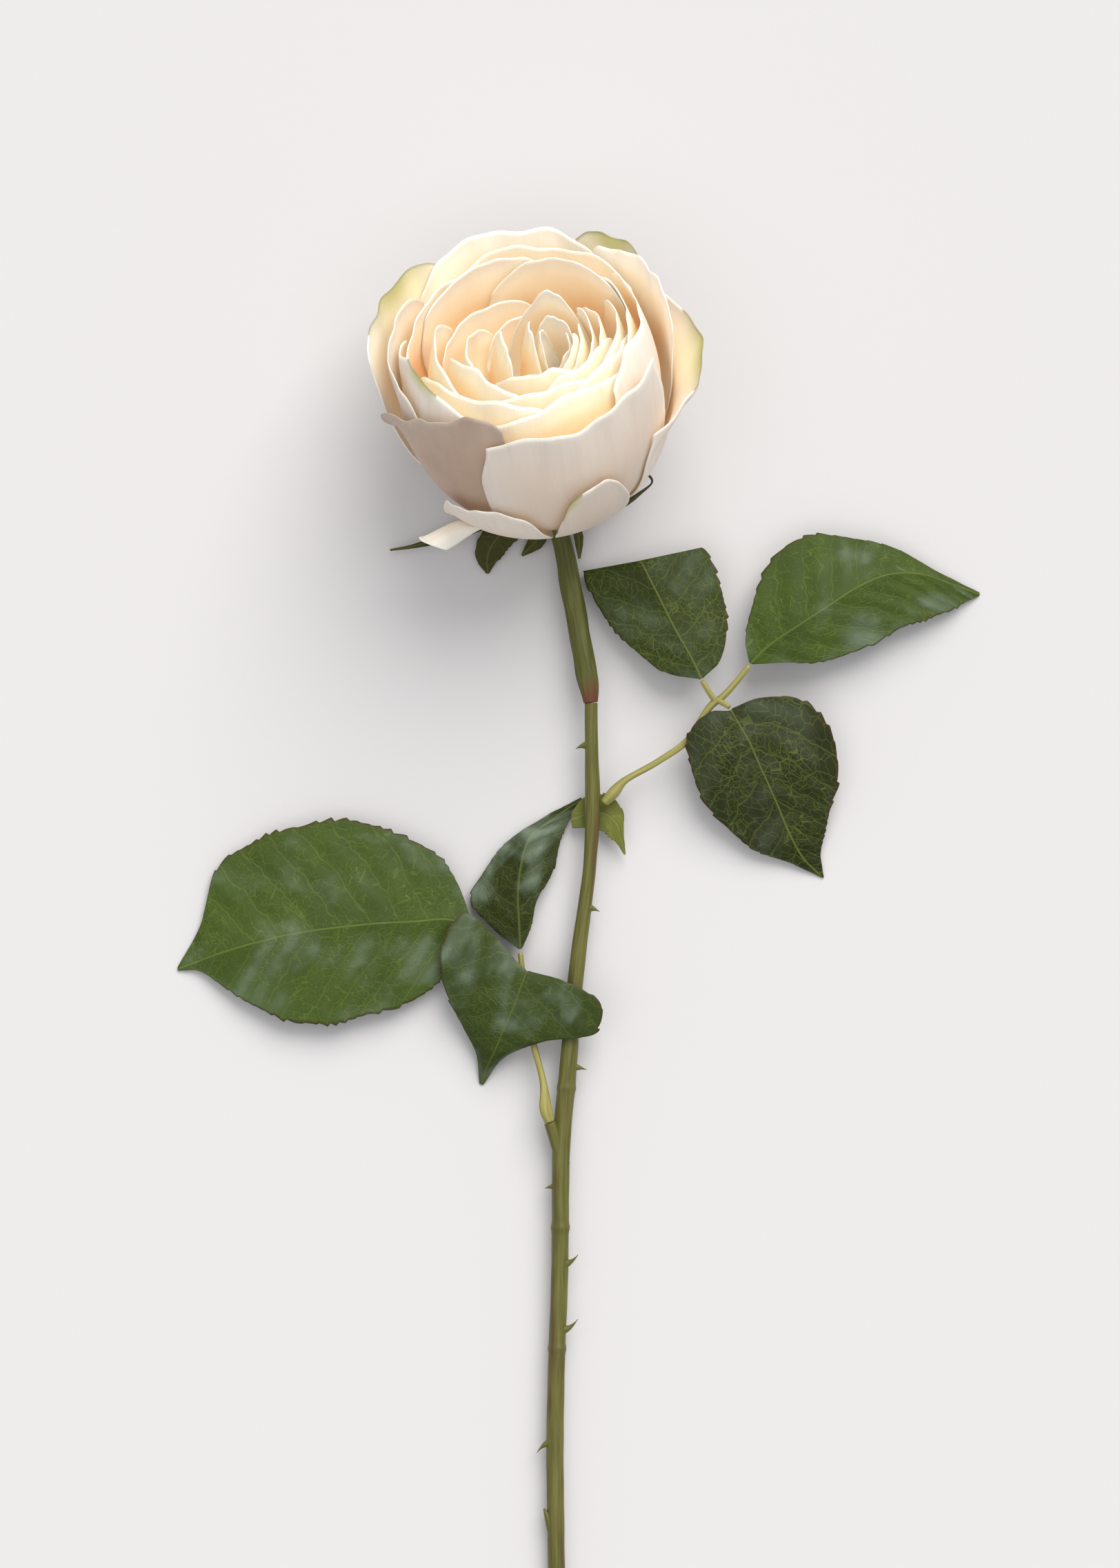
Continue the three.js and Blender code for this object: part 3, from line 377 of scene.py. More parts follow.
# name: layer, angle, half width, rim heights (left, middle, right), flares (left, middle, right)
PETALS = {
    "petal_guard_tail": (36, -57, 5, (-26, -24, -26), (9, 10, 9)),
    "petal_guard_left": (35, -31, 27, (-17, -10, -18), (0.5, 0.4, 0.3)),
    "petal_guard_right": (35, 18, 20, (-20, -2.5, -19), (0.2, 0.5, 0.4)),
    "petal_outer_back_left": (35.3, -130, 36, (14, 23, 18), (1.5, 2.2, 1.5)),
    "petal_outer_back_right": (35.3, 142, 27, (18, 22, 14), (1, 2.4, 2)),
    "petal_outer_right": (34, 82, 36, (4, 9.5, 16), (0.4, 8.5, 1)),
    "petal_outer_back": (34, 182, 42, (18, 24, 16), (1.2, 1.5, 1.2)),
    "petal_outer_front": (33, 18, 46, (19, 19.5, 26), (0.3, 0.6, 0.3)),
    "petal_outer_side": (33, 116, 32, (20, 24, 21), (0.8, 1.4, 1)),
    "petal_outer_front_left": (32, -52, 40, (5, 18, 25), (4.5, 0.4, 0)),
    "petal_outer_left": (31, -98, 44, (19, 22, 11), (1.5, 2.2, 0.2)),
    "petal_ring_back": (31, 165, 50, (18, 21.5, 17), (1, 1, 1)),
    "petal_ring_left": (30, -72, 46, (18, 23.5, 21), (1, 0.8, 0.2)),
    "petal_ring_right": (30, 84, 49, (23, 25, 21), (0.3, 0.3, 0.2)),
    "petal_ring_back_left": (29, -128, 50, (17, 22, 20), (0.8, 0.8, 0.6)),
    "petal_ring_front": (28, 5, 66, (10, 20.8, 19), (0.3, 0, 0)),
    "petal_mid_back": (28, -166, 44, (15, 24.5, 18), (0.6, 0.8, 0.6)),
    "petal_mid_right": (27, 100, 50, (20, 24, 21), (0.3, 0.3, 0.3)),
    "petal_mid_back_right": (26, 150, 48, (21, 25, 16), (0.4, 0.6, 0.4)),
    "petal_ring_front_left": (26, -38, 56, (16, 21.5, 18), (0, 0, 0)),
    "petal_ring_front_right": (25, 44, 54, (17, 22, 18), (0, 0, 0)),
    "petal_mid_left": (24, -90, 52, (13, 22, 17), (0.3, 0.3, 0)),
    "petal_mid_side": (23, 76, 52, (16, 23, 18), (0, 0.2, 0.2)),
    "petal_mid_front": (22, 4, 60, (14, 21.3, 15), (0, 0, 0)),
    "petal_mid_back_left": (21, -150, 48, (7, 13.5, 12), (0.4, 0.4, 0.4)),
    "petal_mid_front_left": (20, -52, 56, (15, 22, 16), (0, 0, 0)),
    "petal_mid_front_right": (18, 38, 56, (15, 22, 17), (0, 0, 0)),
    "petal_heart_left": (17, -104, 54, (8, 18, 15), (0.2, 0.2, 0)),
    "petal_heart_right": (16, 100, 54, (15, 21, 10), (0, 0.2, 0.2)),
    "petal_heart_back": (15, 178, 50, (7, 12, 7), (0.2, 0.2, 0.2)),
    "petal_heart_front": (14, -8, 60, (14, 20.5, 15), (0, 0, 0)),
    "petal_heart_side": (12, 76, 56, (11, 19, 24), (0, 0, 0)),
    "petal_heart_pocket": (11.4, -84, 48, (13, 24, 16), (0, 0, 0)),
    "petal_core_arch": (10, 166, 60, (13, 28, 13), (0, 0, 0)),
    "petal_core_side": (8, 50, 56, (8, 16, 24), (0, 0, 0)),
    "petal_core_front": (6.4, 18, 64, (9, 15, 23), (0, 0, 0)),
    "petal_core_left": (5, -84, 70, (14, 26, 13), (0, 0, 0)),
    "petal_core_back": (4, 160, 66, (15, 22, 15), (-0.3, -0.3, -0.3)),
    "petal_core_right": (2, 60, 70, (11, 16, 19), (-0.4, -0.4, -0.4)),
    "petal_core_tip": (0.5, -110, 84, (14, 20, 14), (-0.6, -0.6, -0.6)),
}
ROW_SPREAD = 0.9  # below 1, rows of points crowd toward the rim
CLAW_WIDTH = 0.8  # share of the petal's width at its claw
FULL_WIDTH_AT = 0.6  # share of its length where it is full width
TAPER_FROM, TAPER_SPAN, TAPER = 0.8, 0.2, 0.1  # toward the rim it narrows again
CLOSING = 3.8  # mm by which a wall CLOSING_HEIGHT high leans in over the heart
CLOSING_HEIGHT = 20
CLOSING_CUP = 14  # smaller cups lean in less
FLARED_FROM = 29.0  # from this layer the walls lean in less, and from FLARED_AT not at all
FLARED_AT = 33.0
FLARE_FROM = 0.72  # share of the length where the rim begins to turn outward
FLARE_SINK = 0.3  # mm of height lost for each mm of flare
SHOULDER_DROP = 4  # mm that a rim's corners lie lower than its parabola
WAIST, WAIST_HEIGHT, WAIST_REACH = 0.035, -12, 14  # the bloom is slimmer just below its middle
FREE_FROM, FREE_LAYERS = 24, 10  # the outermost petals are looser and wavier
BROAD_HALF = 30  # petals with fewer degrees of half width are less wavy
RIM_WAVES = (0.7, 0.45, 0.22), (1.3, 2.7, 5.1)  # amounts in mm, waves across the petal
RIPPLES = (0.5, 0.3, 0.15), (1.9, 3.7, 6.1)
RIM_SHARES = 0.85, 0.65  # of the waves: what every petal has, and what the loosest add
RIPPLE_SHARES = 0.4, 0.6
SIDE_DISTANCE = 1.4  # the side edges count as this much farther off than the rim
TIP_STRENGTH = 0.85
BRUISE_STRENGTH, BRUISE_DEPTH = 0.8, 0.8  # the depth is in mm
FULL_TURN = 6.28

# Yellow-green tips: petal, where across it (-1 to 1), how wide, how far down in mm.
GREEN_TIPS = {
    "petal_outer_right": (0.1, 0.7, 14),
    "petal_outer_back_left": (0.0, 0.9, 16),
    "petal_outer_back_right": (-0.1, 0.8, 13),
    "petal_ring_left": (0.1, 0.5, 5),
    "petal_guard_right": (-0.6, 0.3, 6),
}

# Painted shade: how far each outer petal that lies in shade is darkened toward a dusky taupe.
PAINTED_SHADE = {
    "petal_outer_front_left": 0.95,
    "petal_outer_left": 0.4,
    "petal_outer_front": 0.26,
    "petal_ring_front": 0.12,
    "petal_guard_right": 0.35,
    "petal_guard_left": 0.2,
    "petal_outer_right": 0.2,
}


# %% [markdown]
# One formula draws every petal. From the claw the sheet follows the bowl of its cup, then
# its wall, which leans in over the heart. The rim's height is a parabola through three
# heights with rounded shoulders, and so is its flare. Soft waves ruffle the outer rims.
# Sculpting would give each petal more character; a row of numbers keeps each one thin and
# in its own layer, and still lets every rim stand and turn in its own way.


# %% The petal surface
def through(three, u):
    """The parabola with the three values at u = -1, 0 and 1."""
    left, middle, right_value = three
    return middle + (right_value - left) / 2 * u + ((left + right_value) / 2 - middle) * u**2


def waves(u, kinds, starts):
    """A sum of sine waves across the petal; kinds holds their amounts and their rates."""
    return sum(a * np.sin(math.pi * f * u + p) for a, f, p in zip(*kinds, starts))


def petal_surface(name, columns, rows):
    """Length along the petal turns into an angle in the bowl and then a height on the wall;
    place across it turns into an angle round the axis, narrower at the claw. The wall leans
    in by the three-halves power of its height; the flare grows toward the rim."""
    layer, angle, half, rims, flares = PETALS[name]
    rng = np.random.default_rng(sum(name.encode()))
    cup = HEART_RADIUS + layer * LAYER_STEP
    u = np.linspace(-1, 1, columns)[None, :]
    v = np.linspace(0, 1, rows)[:, None] ** ROW_SPREAD
    rim = through(rims, u) - SHOULDER_DROP * u**6
    free = smooth((layer - FREE_FROM) / FREE_LAYERS)
    broad = smooth(half / BROAD_HALF)
    ruffle = waves(u, RIM_WAVES, rng.uniform(0, FULL_TURN, 3))
    rim = rim + ruffle * (RIM_SHARES[0] + RIM_SHARES[1] * free) * broad
    claw = COLUMN_RADIUS + GAP
    start = cup * math.asin(claw / cup)
    widest = cup * math.pi / 2
    end = np.where(rim >= 0, widest + rim, cup * np.arccos(np.clip(-rim / cup, -1, 1)))
    length = start + v * (end - start)
    bowl = np.minimum(length / cup, math.pi / 2)
    wall = np.maximum(length - widest, 0)
    turn = smooth((v - FLARE_FROM) / (1 - FLARE_FROM)) ** 2
    flare = through(flares, u)
    ripple = waves(u, RIPPLES, rng.uniform(0, FULL_TURN, 3))
    flared = smooth((layer - FLARED_FROM) / (FLARED_AT - FLARED_FROM))
    closing = CLOSING * smooth(cup / CLOSING_CUP) * (1 - flared)
    radius = cup * np.sin(bowl) - closing * (wall / CLOSING_HEIGHT) ** 1.5
    loose = RIPPLE_SHARES[0] + RIPPLE_SHARES[1] * free
    radius = radius + flare * turn + ripple * turn * loose * broad
    height = -cup * np.cos(bowl) + wall - FLARE_SINK * np.maximum(flare, 0) * turn
    from_waist = (height - WAIST_HEIGHT) / WAIST_REACH
    radius = radius * (1 - WAIST * np.exp(-(from_waist**2)))
    width = CLAW_WIDTH + (1 - CLAW_WIDTH) * smooth(v / FULL_WIDTH_AT)
    width = width * (1 - TAPER * smooth((v - TAPER_FROM) / TAPER_SPAN))
    turned = np.radians(angle + half * width * u)
    points = in_bloom(turned, radius, height)
    from_side = (1 - np.abs(u)) * cup * math.radians(half) * SIDE_DISTANCE
    from_rim = np.minimum(end - length, from_side)
    across = cup * np.radians(half) * width * u
    green = np.zeros_like(from_rim)
    if name in GREEN_TIPS:
        where, wide, deep = GREEN_TIPS[name]
        green = TIP_STRENGTH * smooth(1 - np.abs(u - where) / wide)
        green = green * smooth(1 - (end - length) / deep)
    bruise = BRUISE_STRENGTH * (green > 0.1) * smooth(1 - (end - length) / BRUISE_DEPTH)
    facts = {
        "from_rim": from_rim,
        "across": across,
        "green": green,
        "bruise": bruise,
        "painted_shade_amount": np.full_like(from_rim, PAINTED_SHADE.get(name, 0.0)),
        "seed": np.full_like(from_rim, rng.uniform(0, 50)),
    }
    uv = np.stack([across + 0 * from_rim, length], axis=-1) / 100
    return points, facts, uv


PETAL_THICKNESS = 0.3  # a little thinner than the solid's
OUTER_SKIN_FROM = 30  # the first layer with the paler dye on its outside
LARGE_FROM = 18  # the first layer that gets the finer grid
for petal_name, petal_row in PETALS.items():
    columns, rows = (61, 49) if petal_row[0] >= LARGE_FROM else (45, 39)
    grid, petal_facts, petal_uv = petal_surface(petal_name, columns, rows)
    outside = petal_outside if petal_row[0] >= OUTER_SKIN_FROM else petal_cream
    petal = make_piece(
        petal_name + "_cloth", grid, grid_quads(rows, columns), petal_facts,
        [outside, petal_inside, petal_edge], "petal", petal_uv,
    )
    thicken(petal, PETAL_THICKNESS, 1, 2)
    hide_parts(petal_name)
print("petals", len(PETALS))

# %% [markdown]
# Leaves are printed cloth: dark green with a net of light veins, glossy on the upper side,
# with small teeth along the edge that are tinged brown-red. Soft grey-green patches of painted
# sheen stand in for the light that the glossy side reflects. The net is a Voronoi pattern's
# cell walls; the side veins are curved stripes that leave the midrib toward the tip. A
# picture could be printed on the blade instead, but a pattern measured in the leaf's own
# millimetres stays sharp and follows each leaf's outline.


# %% Leaf materials
PALE_GREEN = (0.05, 0.085, 0.01)
# The grey-green of the painted sheen: reflected light on the glossy upper side.
PAINTED_SHEEN = (0.15, 0.195, 0.14)
EDGE_BROWN = (0.07, 0.035, 0.018)
VEIN_SPACING = 8.5  # mm from one side vein to the next
VEIN_SLOPE = 0.75  # mm toward the tip for each mm away from the midrib


def scaled(colour, share):
    """The same colour, lighter or darker."""
    return tuple(c * share for c in colour)


def cell_walls(flow, where, scale):
    """Distance to the nearest wall of a random net of cells; a larger scale is finer."""
    return flow.node(
        "ShaderNodeTexVoronoi",
        {"feature": "DISTANCE_TO_EDGE", "voronoi_dimensions": "3D"},
        {"Vector": where, "Scale": scale, "Randomness": 1.0},
        out="Distance",
    )


def leaf_material(name, dark, light, roughness, vein_strength):
    """Dark cloth with printed side veins, midrib and net in the light colour."""
    material, place, shader = new_material(name, roughness, 0.18)
    across = fact(place, "across")
    along = fact(place, "along")
    edge = fact(place, "edge")
    seed = fact(place, "seed")
    wobble = noise(place, point(place, across * 0.16, along * 0.16, seed), 1.0, 2.0) - 0.5
    lane = (along - across.absolute() * VEIN_SLOPE + wobble * 5.0) / VEIN_SPACING
    side = 1.0 - ((lane.fraction() - 0.5).absolute() * VEIN_SPACING).between(0.05, 0.4)
    midrib = 1.0 - across.absolute().between(0.1, 0.42)
    warped = point(place, across + wobble * 5.0, along + wobble * 4.0, seed)
    net_line = 1.0 - cell_walls(place, warped, 0.42).between(0.01, 0.065)
    fine_line = (1.0 - cell_walls(place, warped, 1.0).between(0.02, 0.13)) * 0.4
    fade = noise(place, point(place, across * 0.08, along * 0.08, 4.0), 1.0, 2.0).between(0.35, 0.7)
    lines = place.math("MAXIMUM", net_line * (0.35 + fade * 0.5), fine_line * fade)
    lines = place.math("MAXIMUM", lines, place.math("MAXIMUM", side * 0.5, midrib))
    blotch = noise(place, place, 70.0, 5.0, 0.6)
    body = blotch.between(0.3, 0.75).blend(dark, scaled(dark, 1.5))
    pale_body = blotch.between(0.25, 0.8).blend(PALE_GREEN, scaled(PALE_GREEN, 0.7))
    body = fact(place, "pale").blend(body, pale_body)
    # Painted sheen: soft grey-green patches, mostly on the quilting between side veins, stand in
    # for reflected light, and the printed veins are painted fainter under them.
    quilt = (lane.fraction() - 0.5).absolute().between(0.12, 0.42)
    painted_sheen = noise(place, point(place, across * 0.07, along * 0.05, seed), 1.0, 3.0)
    painted_sheen = painted_sheen.between(0.46, 0.7) * (0.5 + quilt * 0.5)
    painted_sheen_strength = fact(place, "painted_sheen_strength")
    body = (painted_sheen * painted_sheen_strength).blend(body, PAINTED_SHEEN)
    colour = (lines * vein_strength * (1.0 - painted_sheen_strength * 0.55)).blend(body, light)
    colour = (edge.between(0.955, 1.0) * 0.6).blend(colour, EDGE_BROWN)
    place.plug(shader.inputs["Base Color"], colour)
    place.plug(shader.inputs["Roughness"], roughness + blotch * 0.16 - lines * 0.05)
    weave = noise(place, place, 3200.0, 2.0)
    bump(place, shader, lines * -0.6 + blotch * 0.5 + weave * 0.1, 0.4 * MM, 0.6)
    return material


leaf_top = leaf_material("leaf_top", (0.011, 0.014, 0.001), (0.19, 0.24, 0.04), 0.45, 0.5)
leaf_back = leaf_material("leaf_back", (0.04, 0.055, 0.022), (0.12, 0.15, 0.06), 0.6, 0.35)
print("leaf materials", leaf_top.name, leaf_back.name)

# %% [markdown]
# A blade is drawn by rows across it, from foot to tip: a left edge point, a midrib point
# and a right edge point. Smooth curves run through each, and the cloth between them sags
# from the midrib. Teeth push the edge in and out, and the side veins quilt the surface.


# %% Curves and blades
def spline(stations, count):
    """Centripetal Catmull-Rom: cubic pieces whose end slopes weigh the neighbours by the
    square root of their distances; count points, spread evenly over the pieces."""
    knots = np.asarray(stations, dtype=float)
    padded = np.vstack([2 * knots[0] - knots[1], knots, 2 * knots[-1] - knots[-2]])
    t = np.linspace(0, len(knots) - 1, count)
    k = np.minimum(t.astype(int), len(knots) - 2)
    w = (t - k)[:, None]
    p0, p1, p2, p3 = (padded[k + i] for i in range(4))
    d0, d1, d2 = (
        np.sqrt(np.linalg.norm((b - a)[:, :3], axis=1))[:, None]
        for a, b in ((p0, p1), (p1, p2), (p2, p3))
    )
    m1 = ((p1 - p0) / d0 - (p2 - p0) / (d0 + d1) + (p2 - p1) / d1) * d1
    m2 = ((p2 - p1) / d1 - (p3 - p1) / (d1 + d2) + (p3 - p2) / d2) * d1
    return p1 + w * (m1 + w * ((3 * (p2 - p1) - 2 * m1 - m2) + w * (2 * (p1 - p2) + m1 + m2)))


def run_length(line):
    """How far along a line of points each one lies."""
    return np.concatenate([[0], np.cumsum(np.linalg.norm(np.diff(line, axis=0), axis=1))])


TOOTH_LENGTH = 3.4
FOOT_FADE, TIP_FADE = 8, 6  # mm at the foot and the tip that stay smooth
RIB_FADE, EDGE_FADE = 0.25, 0.2  # shares of the half width where the quilting fades
ARCH = 1.25  # one would be a flat slope from the midrib to the edge
SOFT_WAVES = (0.35, 0.09, 0.06), (0.2, 0.17, 0.15)  # mm high, rates across and along


def blade_surface(rows, columns, steps, teeth, quilt, seed):
    """Midrib point plus |u| times the way to the edge point; heights follow
    1 - (1 - |u|)^1.25. Teeth scale |u| by a sawtooth, quilting adds a sine of the lane."""
    left, middle, right_edge = (
        spline([row[k] for row in rows], steps)[:, None, :] for k in range(3)
    )
    u = np.linspace(-1, 1, columns)[None, :, None]
    reach = np.abs(u)
    edge = np.where(u < 0, left, right_edge)
    run = run_length(middle[:, 0])[:, None]
    widths = np.linalg.norm(edge - middle, axis=2)
    side = u[..., 0]
    out = reach[..., 0]
    along = run + 0 * widths
    across = np.sign(side) * widths * out
    phase = run / TOOTH_LENGTH + 0.35 * np.sign(side) + 0.5 * np.sin(run * 0.23 + seed)
    saw = (1 - (phase - np.floor(phase))) * (0.7 + 0.5 * np.sin(run * 0.41 + seed * side))
    body = smooth(run / FOOT_FADE) * smooth((run[-1] - run) / TIP_FADE)
    reach_in = reach * (1 + teeth * ((saw - 0.5) * body * out**6)[..., None])
    grid = middle + (edge - middle) * reach_in
    arch = 1 - (1 - out) ** ARCH
    grid[..., 2] = middle[..., 2] + (edge[..., 2] - middle[..., 2]) * arch
    lane = (along - np.abs(across) * VEIN_SLOPE) / VEIN_SPACING
    soft = smooth(out / RIB_FADE) * smooth((1 - out) / EDGE_FADE) * body
    grid[..., 2] += quilt * np.cos(2 * math.pi * (lane - 0.5)) * -soft
    rng = np.random.default_rng(seed)
    for amp, fx, fy in SOFT_WAVES:
        p = rng.uniform(0, FULL_TURN, 2)
        grid[..., 2] += amp * np.sin(fx * across + p[0]) * np.sin(fy * along + p[1]) * body
    facts = {
        "across": across,
        "along": along,
        "edge": np.broadcast_to(out, across.shape),
        "seed": np.full_like(across, seed * 3.7),
    }
    return grid, facts, np.stack([across, along], axis=-1) / 100


def upward(grid, facts, uv):
    """Turns the sheet's order round if its face looks down, so that its top is its front."""
    corner = grid[:-1, :-1]
    normal = np.cross(grid[1:, :-1] - corner, grid[:-1, 1:] - corner).sum(axis=(0, 1))
    if normal[2] > 0:
        return grid[:, ::-1], {k: v[:, ::-1] for k, v in facts.items()}, uv[:, ::-1]
    return grid, facts, uv


# Each row across a blade: its left edge, midrib and right edge, in drawing millimetres.
LEAVES = {
    "leaf_upper_left": [
        [(40.4, 257.6, 12.2), (40.9, 257.9, 12.4), (41.4, 258.1, 12.2)],
        [(30, 259.8, 10.6), (38, 264, 12.6), (46.5, 263.4, 11.8)],
        [(20.2, 267.2, 7.6), (33, 273, 12.2), (48.4, 275, 12.2)],
        [(11.4, 277.6, 4.6), (27.5, 284, 10.2), (46, 286.5, 11.2)],
        [(6.8, 288.8, 3.0), (23.2, 291.8, 7.6), (41.6, 295.6, 9.0)],
        [(8.6, 288.4, 1.3), (22.4, 289.6, 4.6), (37.6, 292.6, 5.6)],
        [(19.6, 283.2, 1.2), (20.2, 282.9, 1.4), (20.8, 282.6, 1.2)],
    ],
    "leaf_upper_far": [
        [(54.6, 262.6, 12.2), (55.1, 262.3, 12.4), (55.6, 262, 12.2)],
        [(53.6, 269, 11.5), (60, 267.2, 13.2), (63.6, 262.4, 11.8)],
        [(55.6, 279.8, 10.5), (69, 273.4, 14), (76.8, 262.8, 11)],
        [(62.2, 294, 9), (78, 279.3, 14), (91, 268, 10)],
        [(72, 299.4, 8), (86, 284.4, 12.5), (99.4, 272.6, 9)],
        [(86, 298.4, 7), (95, 288, 10.5), (107, 275.2, 7)],
        [(97, 295.6, 6), (104, 288.2, 8), (113.4, 277.6, 5)],
        [(109, 289, 3.2), (112.5, 285.6, 3.9), (117.5, 280, 2.8)],
        [(121.5, 282.9, 0.5), (121.6, 282.4, 0.6), (121.5, 281.9, 0.5)],
    ],
    "leaf_upper_near": [
        [(48.9, 248.3, 12.4), (49.4, 248.8, 12.6), (49.9, 249.3, 12.4)],
        [(43.2, 248.2, 12.6), (51.5, 245, 13.2), (58, 252.4, 12.5)],
        [(36.8, 241.5, 12.7), (54.5, 240, 13.2), (70.4, 251.6, 11)],
        [(37.6, 232, 12), (57.2, 234, 12.6), (79, 242, 9)],
        [(41, 223.2, 9), (60.2, 227.5, 10.8), (80.6, 228.8, 7)],
        [(47.4, 215.4, 6.5), (63.2, 220.8, 8.7), (78.6, 220.8, 6)],
        [(56.4, 208.2, 4.2), (66.5, 213, 6.2), (77, 214.2, 4.2)],
        [(66, 204.8, 2.4), (70.5, 206, 3.1), (75.6, 207.5, 2.4)],
        [(75.5, 200.6, 0.5), (76, 200.4, 0.6), (76.5, 200.2, 0.5)],
    ],
    "leaf_lower_broad": [
        [(-25.4, 187.4, 6.6), (-25.4, 186.8, 6.8), (-25.4, 186.2, 6.6)],
        [(-30, 199.5, 5.6), (-33, 188.4, 7.6), (-33.5, 172, 5.4)],
        [(-36, 207.6, 6), (-42, 187.8, 8.6), (-41, 165.2, 6)],
        [(-46, 212.8, 6), (-53.2, 187.2, 9.6), (-53.2, 161, 6.8)],
        [(-60, 217.2, 5.5), (-64.5, 186, 9.8), (-65, 158, 7)],
        [(-74.6, 215.8, 5), (-76, 184.4, 9.2), (-76, 158, 6.5)],
        [(-88, 211.4, 4), (-88, 181.6, 7.6), (-88, 162.6, 5)],
        [(-99, 203.6, 3), (-98, 178.6, 5.2), (-98, 169, 3.5)],
        [(-104.4, 186, 2), (-105, 176, 2.5), (-104.6, 173.2, 2)],
        [(-110.8, 174.3, 0.5), (-110.8, 173.8, 0.6), (-110.8, 173.3, 0.5)],
    ],
    "leaf_lower_back": [
        [(-12, 179.6, 7.4), (-11.5, 179.7, 7.6), (-11, 179.8, 7.4)],
        [(-20, 186, 5.2), (-11.8, 186.5, 8), (-8.4, 186, 6)],
        [(-26, 194, 3.6), (-12.2, 195.6, 8), (-6.8, 193.2, 5.2)],
        [(-21.5, 203, 3.4), (-11.2, 204, 7.4), (-1.6, 203, 4)],
        [(-15.5, 210.5, 2.8), (-8.5, 212, 5.2), (0.4, 211.4, 3)],
        [(-5.6, 217.2, 2), (-1.4, 217.6, 2.8), (3, 217.6, 2)],
        [(6, 223.4, 0.9), (6.3, 223.1, 1.0), (6.6, 222.8, 0.9)],
    ],
    "leaf_lower_front": [
        [(-10.2, 173.8, 12.4), (-9.6, 173.3, 12.6), (-8.8, 173.2, 12.4)],
        [(-27.5, 190, 11.4), (-11, 169.6, 13.4), (2, 170.2, 13.6)],
        [(-34.6, 181, 10.6), (-13, 164, 13), (12.4, 163.4, 13.4)],
        [(-33, 167.4, 8.8), (-16, 157, 11.2), (10.4, 155.6, 11.8)],
        [(-28, 157, 5.8), (-19, 149.8, 8), (-4, 153.3, 10)],
        [(-24.2, 149.5, 3.6), (-21.3, 145, 4.2), (-16.4, 148.2, 5.2)],
        [(-23.3, 140.6, 0.5), (-22.8, 140.4, 0.6), (-22.3, 140.2, 0.5)],
    ],
}
LEAF_THICKNESS = 0.45  # a little thinner than the solid's
# How far each blade's colour is moved toward the pale green, and how strong its patches of painted
# sheen are.
PALE_AND_PAINTED_SHEEN = {
    "leaf_upper_left": (0.28, 0.3),
    "leaf_upper_far": (0.85, 0.7),
    "leaf_upper_near": (0.03, 0.2),
    "leaf_lower_broad": (0.9, 0.5),
    "leaf_lower_back": (0.15, 0.95),
    "leaf_lower_front": (0.5, 0.85),
}


def make_blade(name, rows, materials, seed, columns=49, steps=121, teeth=0.045, quilt=0.2):
    grid, facts, uv = upward(*blade_surface(rows, columns, steps, teeth, quilt, seed))
    pale, painted_sheen_strength = PALE_AND_PAINTED_SHEEN.get(name, (0.0, 0.2))
    facts["pale"] = np.full_like(facts["seed"], pale)
    facts["painted_sheen_strength"] = np.full_like(facts["seed"], painted_sheen_strength)
    quads = grid_quads(steps, columns)
    piece = make_piece(name + "_cloth", grid, quads, facts, materials, "leaf", uv)
    thicken(piece, LEAF_THICKNESS, 1, 0)
    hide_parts(name)


for number, (leaf_name, leaf_rows) in enumerate(LEAVES.items()):
    make_blade(leaf_name, leaf_rows, [leaf_top, leaf_back], number + 1)
print("leaves", len(LEAVES))

# %% [markdown]
# The stem, neck and leaf stalks are moulded plastic: round sections carried along a curve,
# with rings at the joints and thorns set into the side. Olive green runs to brown-red in
# patches, and the skin has a soft gloss. The streaks are read from each point's distance
# along and round its limb, not from its place in space, so they bend as the limb does.


# %% Moulded materials
def moulded_material(name, base, dark, warm, roughness, warm_from=None):
    """Olive with long streaks; warm shows in patches, or past a place along the limb."""
    material, place, shader = new_material(name, roughness, 0.35)
    around = fact(place, "around")
    along = fact(place, "along")
    streak = noise(place, point(place, around * 1.2, along * 0.05, 0.0), 1.0, 4.0, 0.6)
    patch = noise(place, point(place, around * 0.25, along * 0.035, 7.0), 1.0, 3.0)
    colour = streak.between(0.35, 0.7).blend(base, dark)
    if warm_from is None:
        warmth = patch.between(0.5, 0.72) * 0.6
    else:
        warmth = (along + patch * 6.0).between(*warm_from)
    colour = warmth.blend(colour, warm)
    place.plug(shader.inputs["Base Color"], colour)
    pores = noise(place, place, 1500.0, 3.0)
    place.plug(shader.inputs["Roughness"], roughness + streak * 0.15)
    bump(place, shader, streak * 0.6 + pores * 0.3, 0.4 * MM, 0.3)
    return material


stem_skin = moulded_material(
    "stem_skin", (0.125, 0.12, 0.022), (0.07, 0.07, 0.012), (0.085, 0.042, 0.014), 0.34
)
neck_skin = moulded_material(
    "neck_skin", (0.1, 0.106, 0.016), (0.05, 0.056, 0.01), (0.13, 0.035, 0.018), 0.5, (50.0, 60.0)
)
petiole_skin = moulded_material(
    "petiole_skin", (0.33, 0.29, 0.085), (0.2, 0.19, 0.05), (0.32, 0.2, 0.07), 0.45
)
print("moulded materials", stem_skin.name, neck_skin.name, petiole_skin.name)


# %% [markdown]
# A limb is any round piece: stem, thorn, stalk or sleeve. Blender could bevel a curve into
# a tube, but a grid of circles lets the radius, the ridges and the caps be set by formula,
# and several limbs can be joined as one mesh, as they are moulded in one.

# %% Limbs
SWELL_LOBES = 2, 3, 5  # bulges round the limb
SWELL_TURNS = 0.12, -0.2, 0.5  # radians that they turn for each mm along it


def unit(vectors):
    """Every row at length one."""
    return vectors / np.linalg.norm(vectors, axis=1)[:, None]


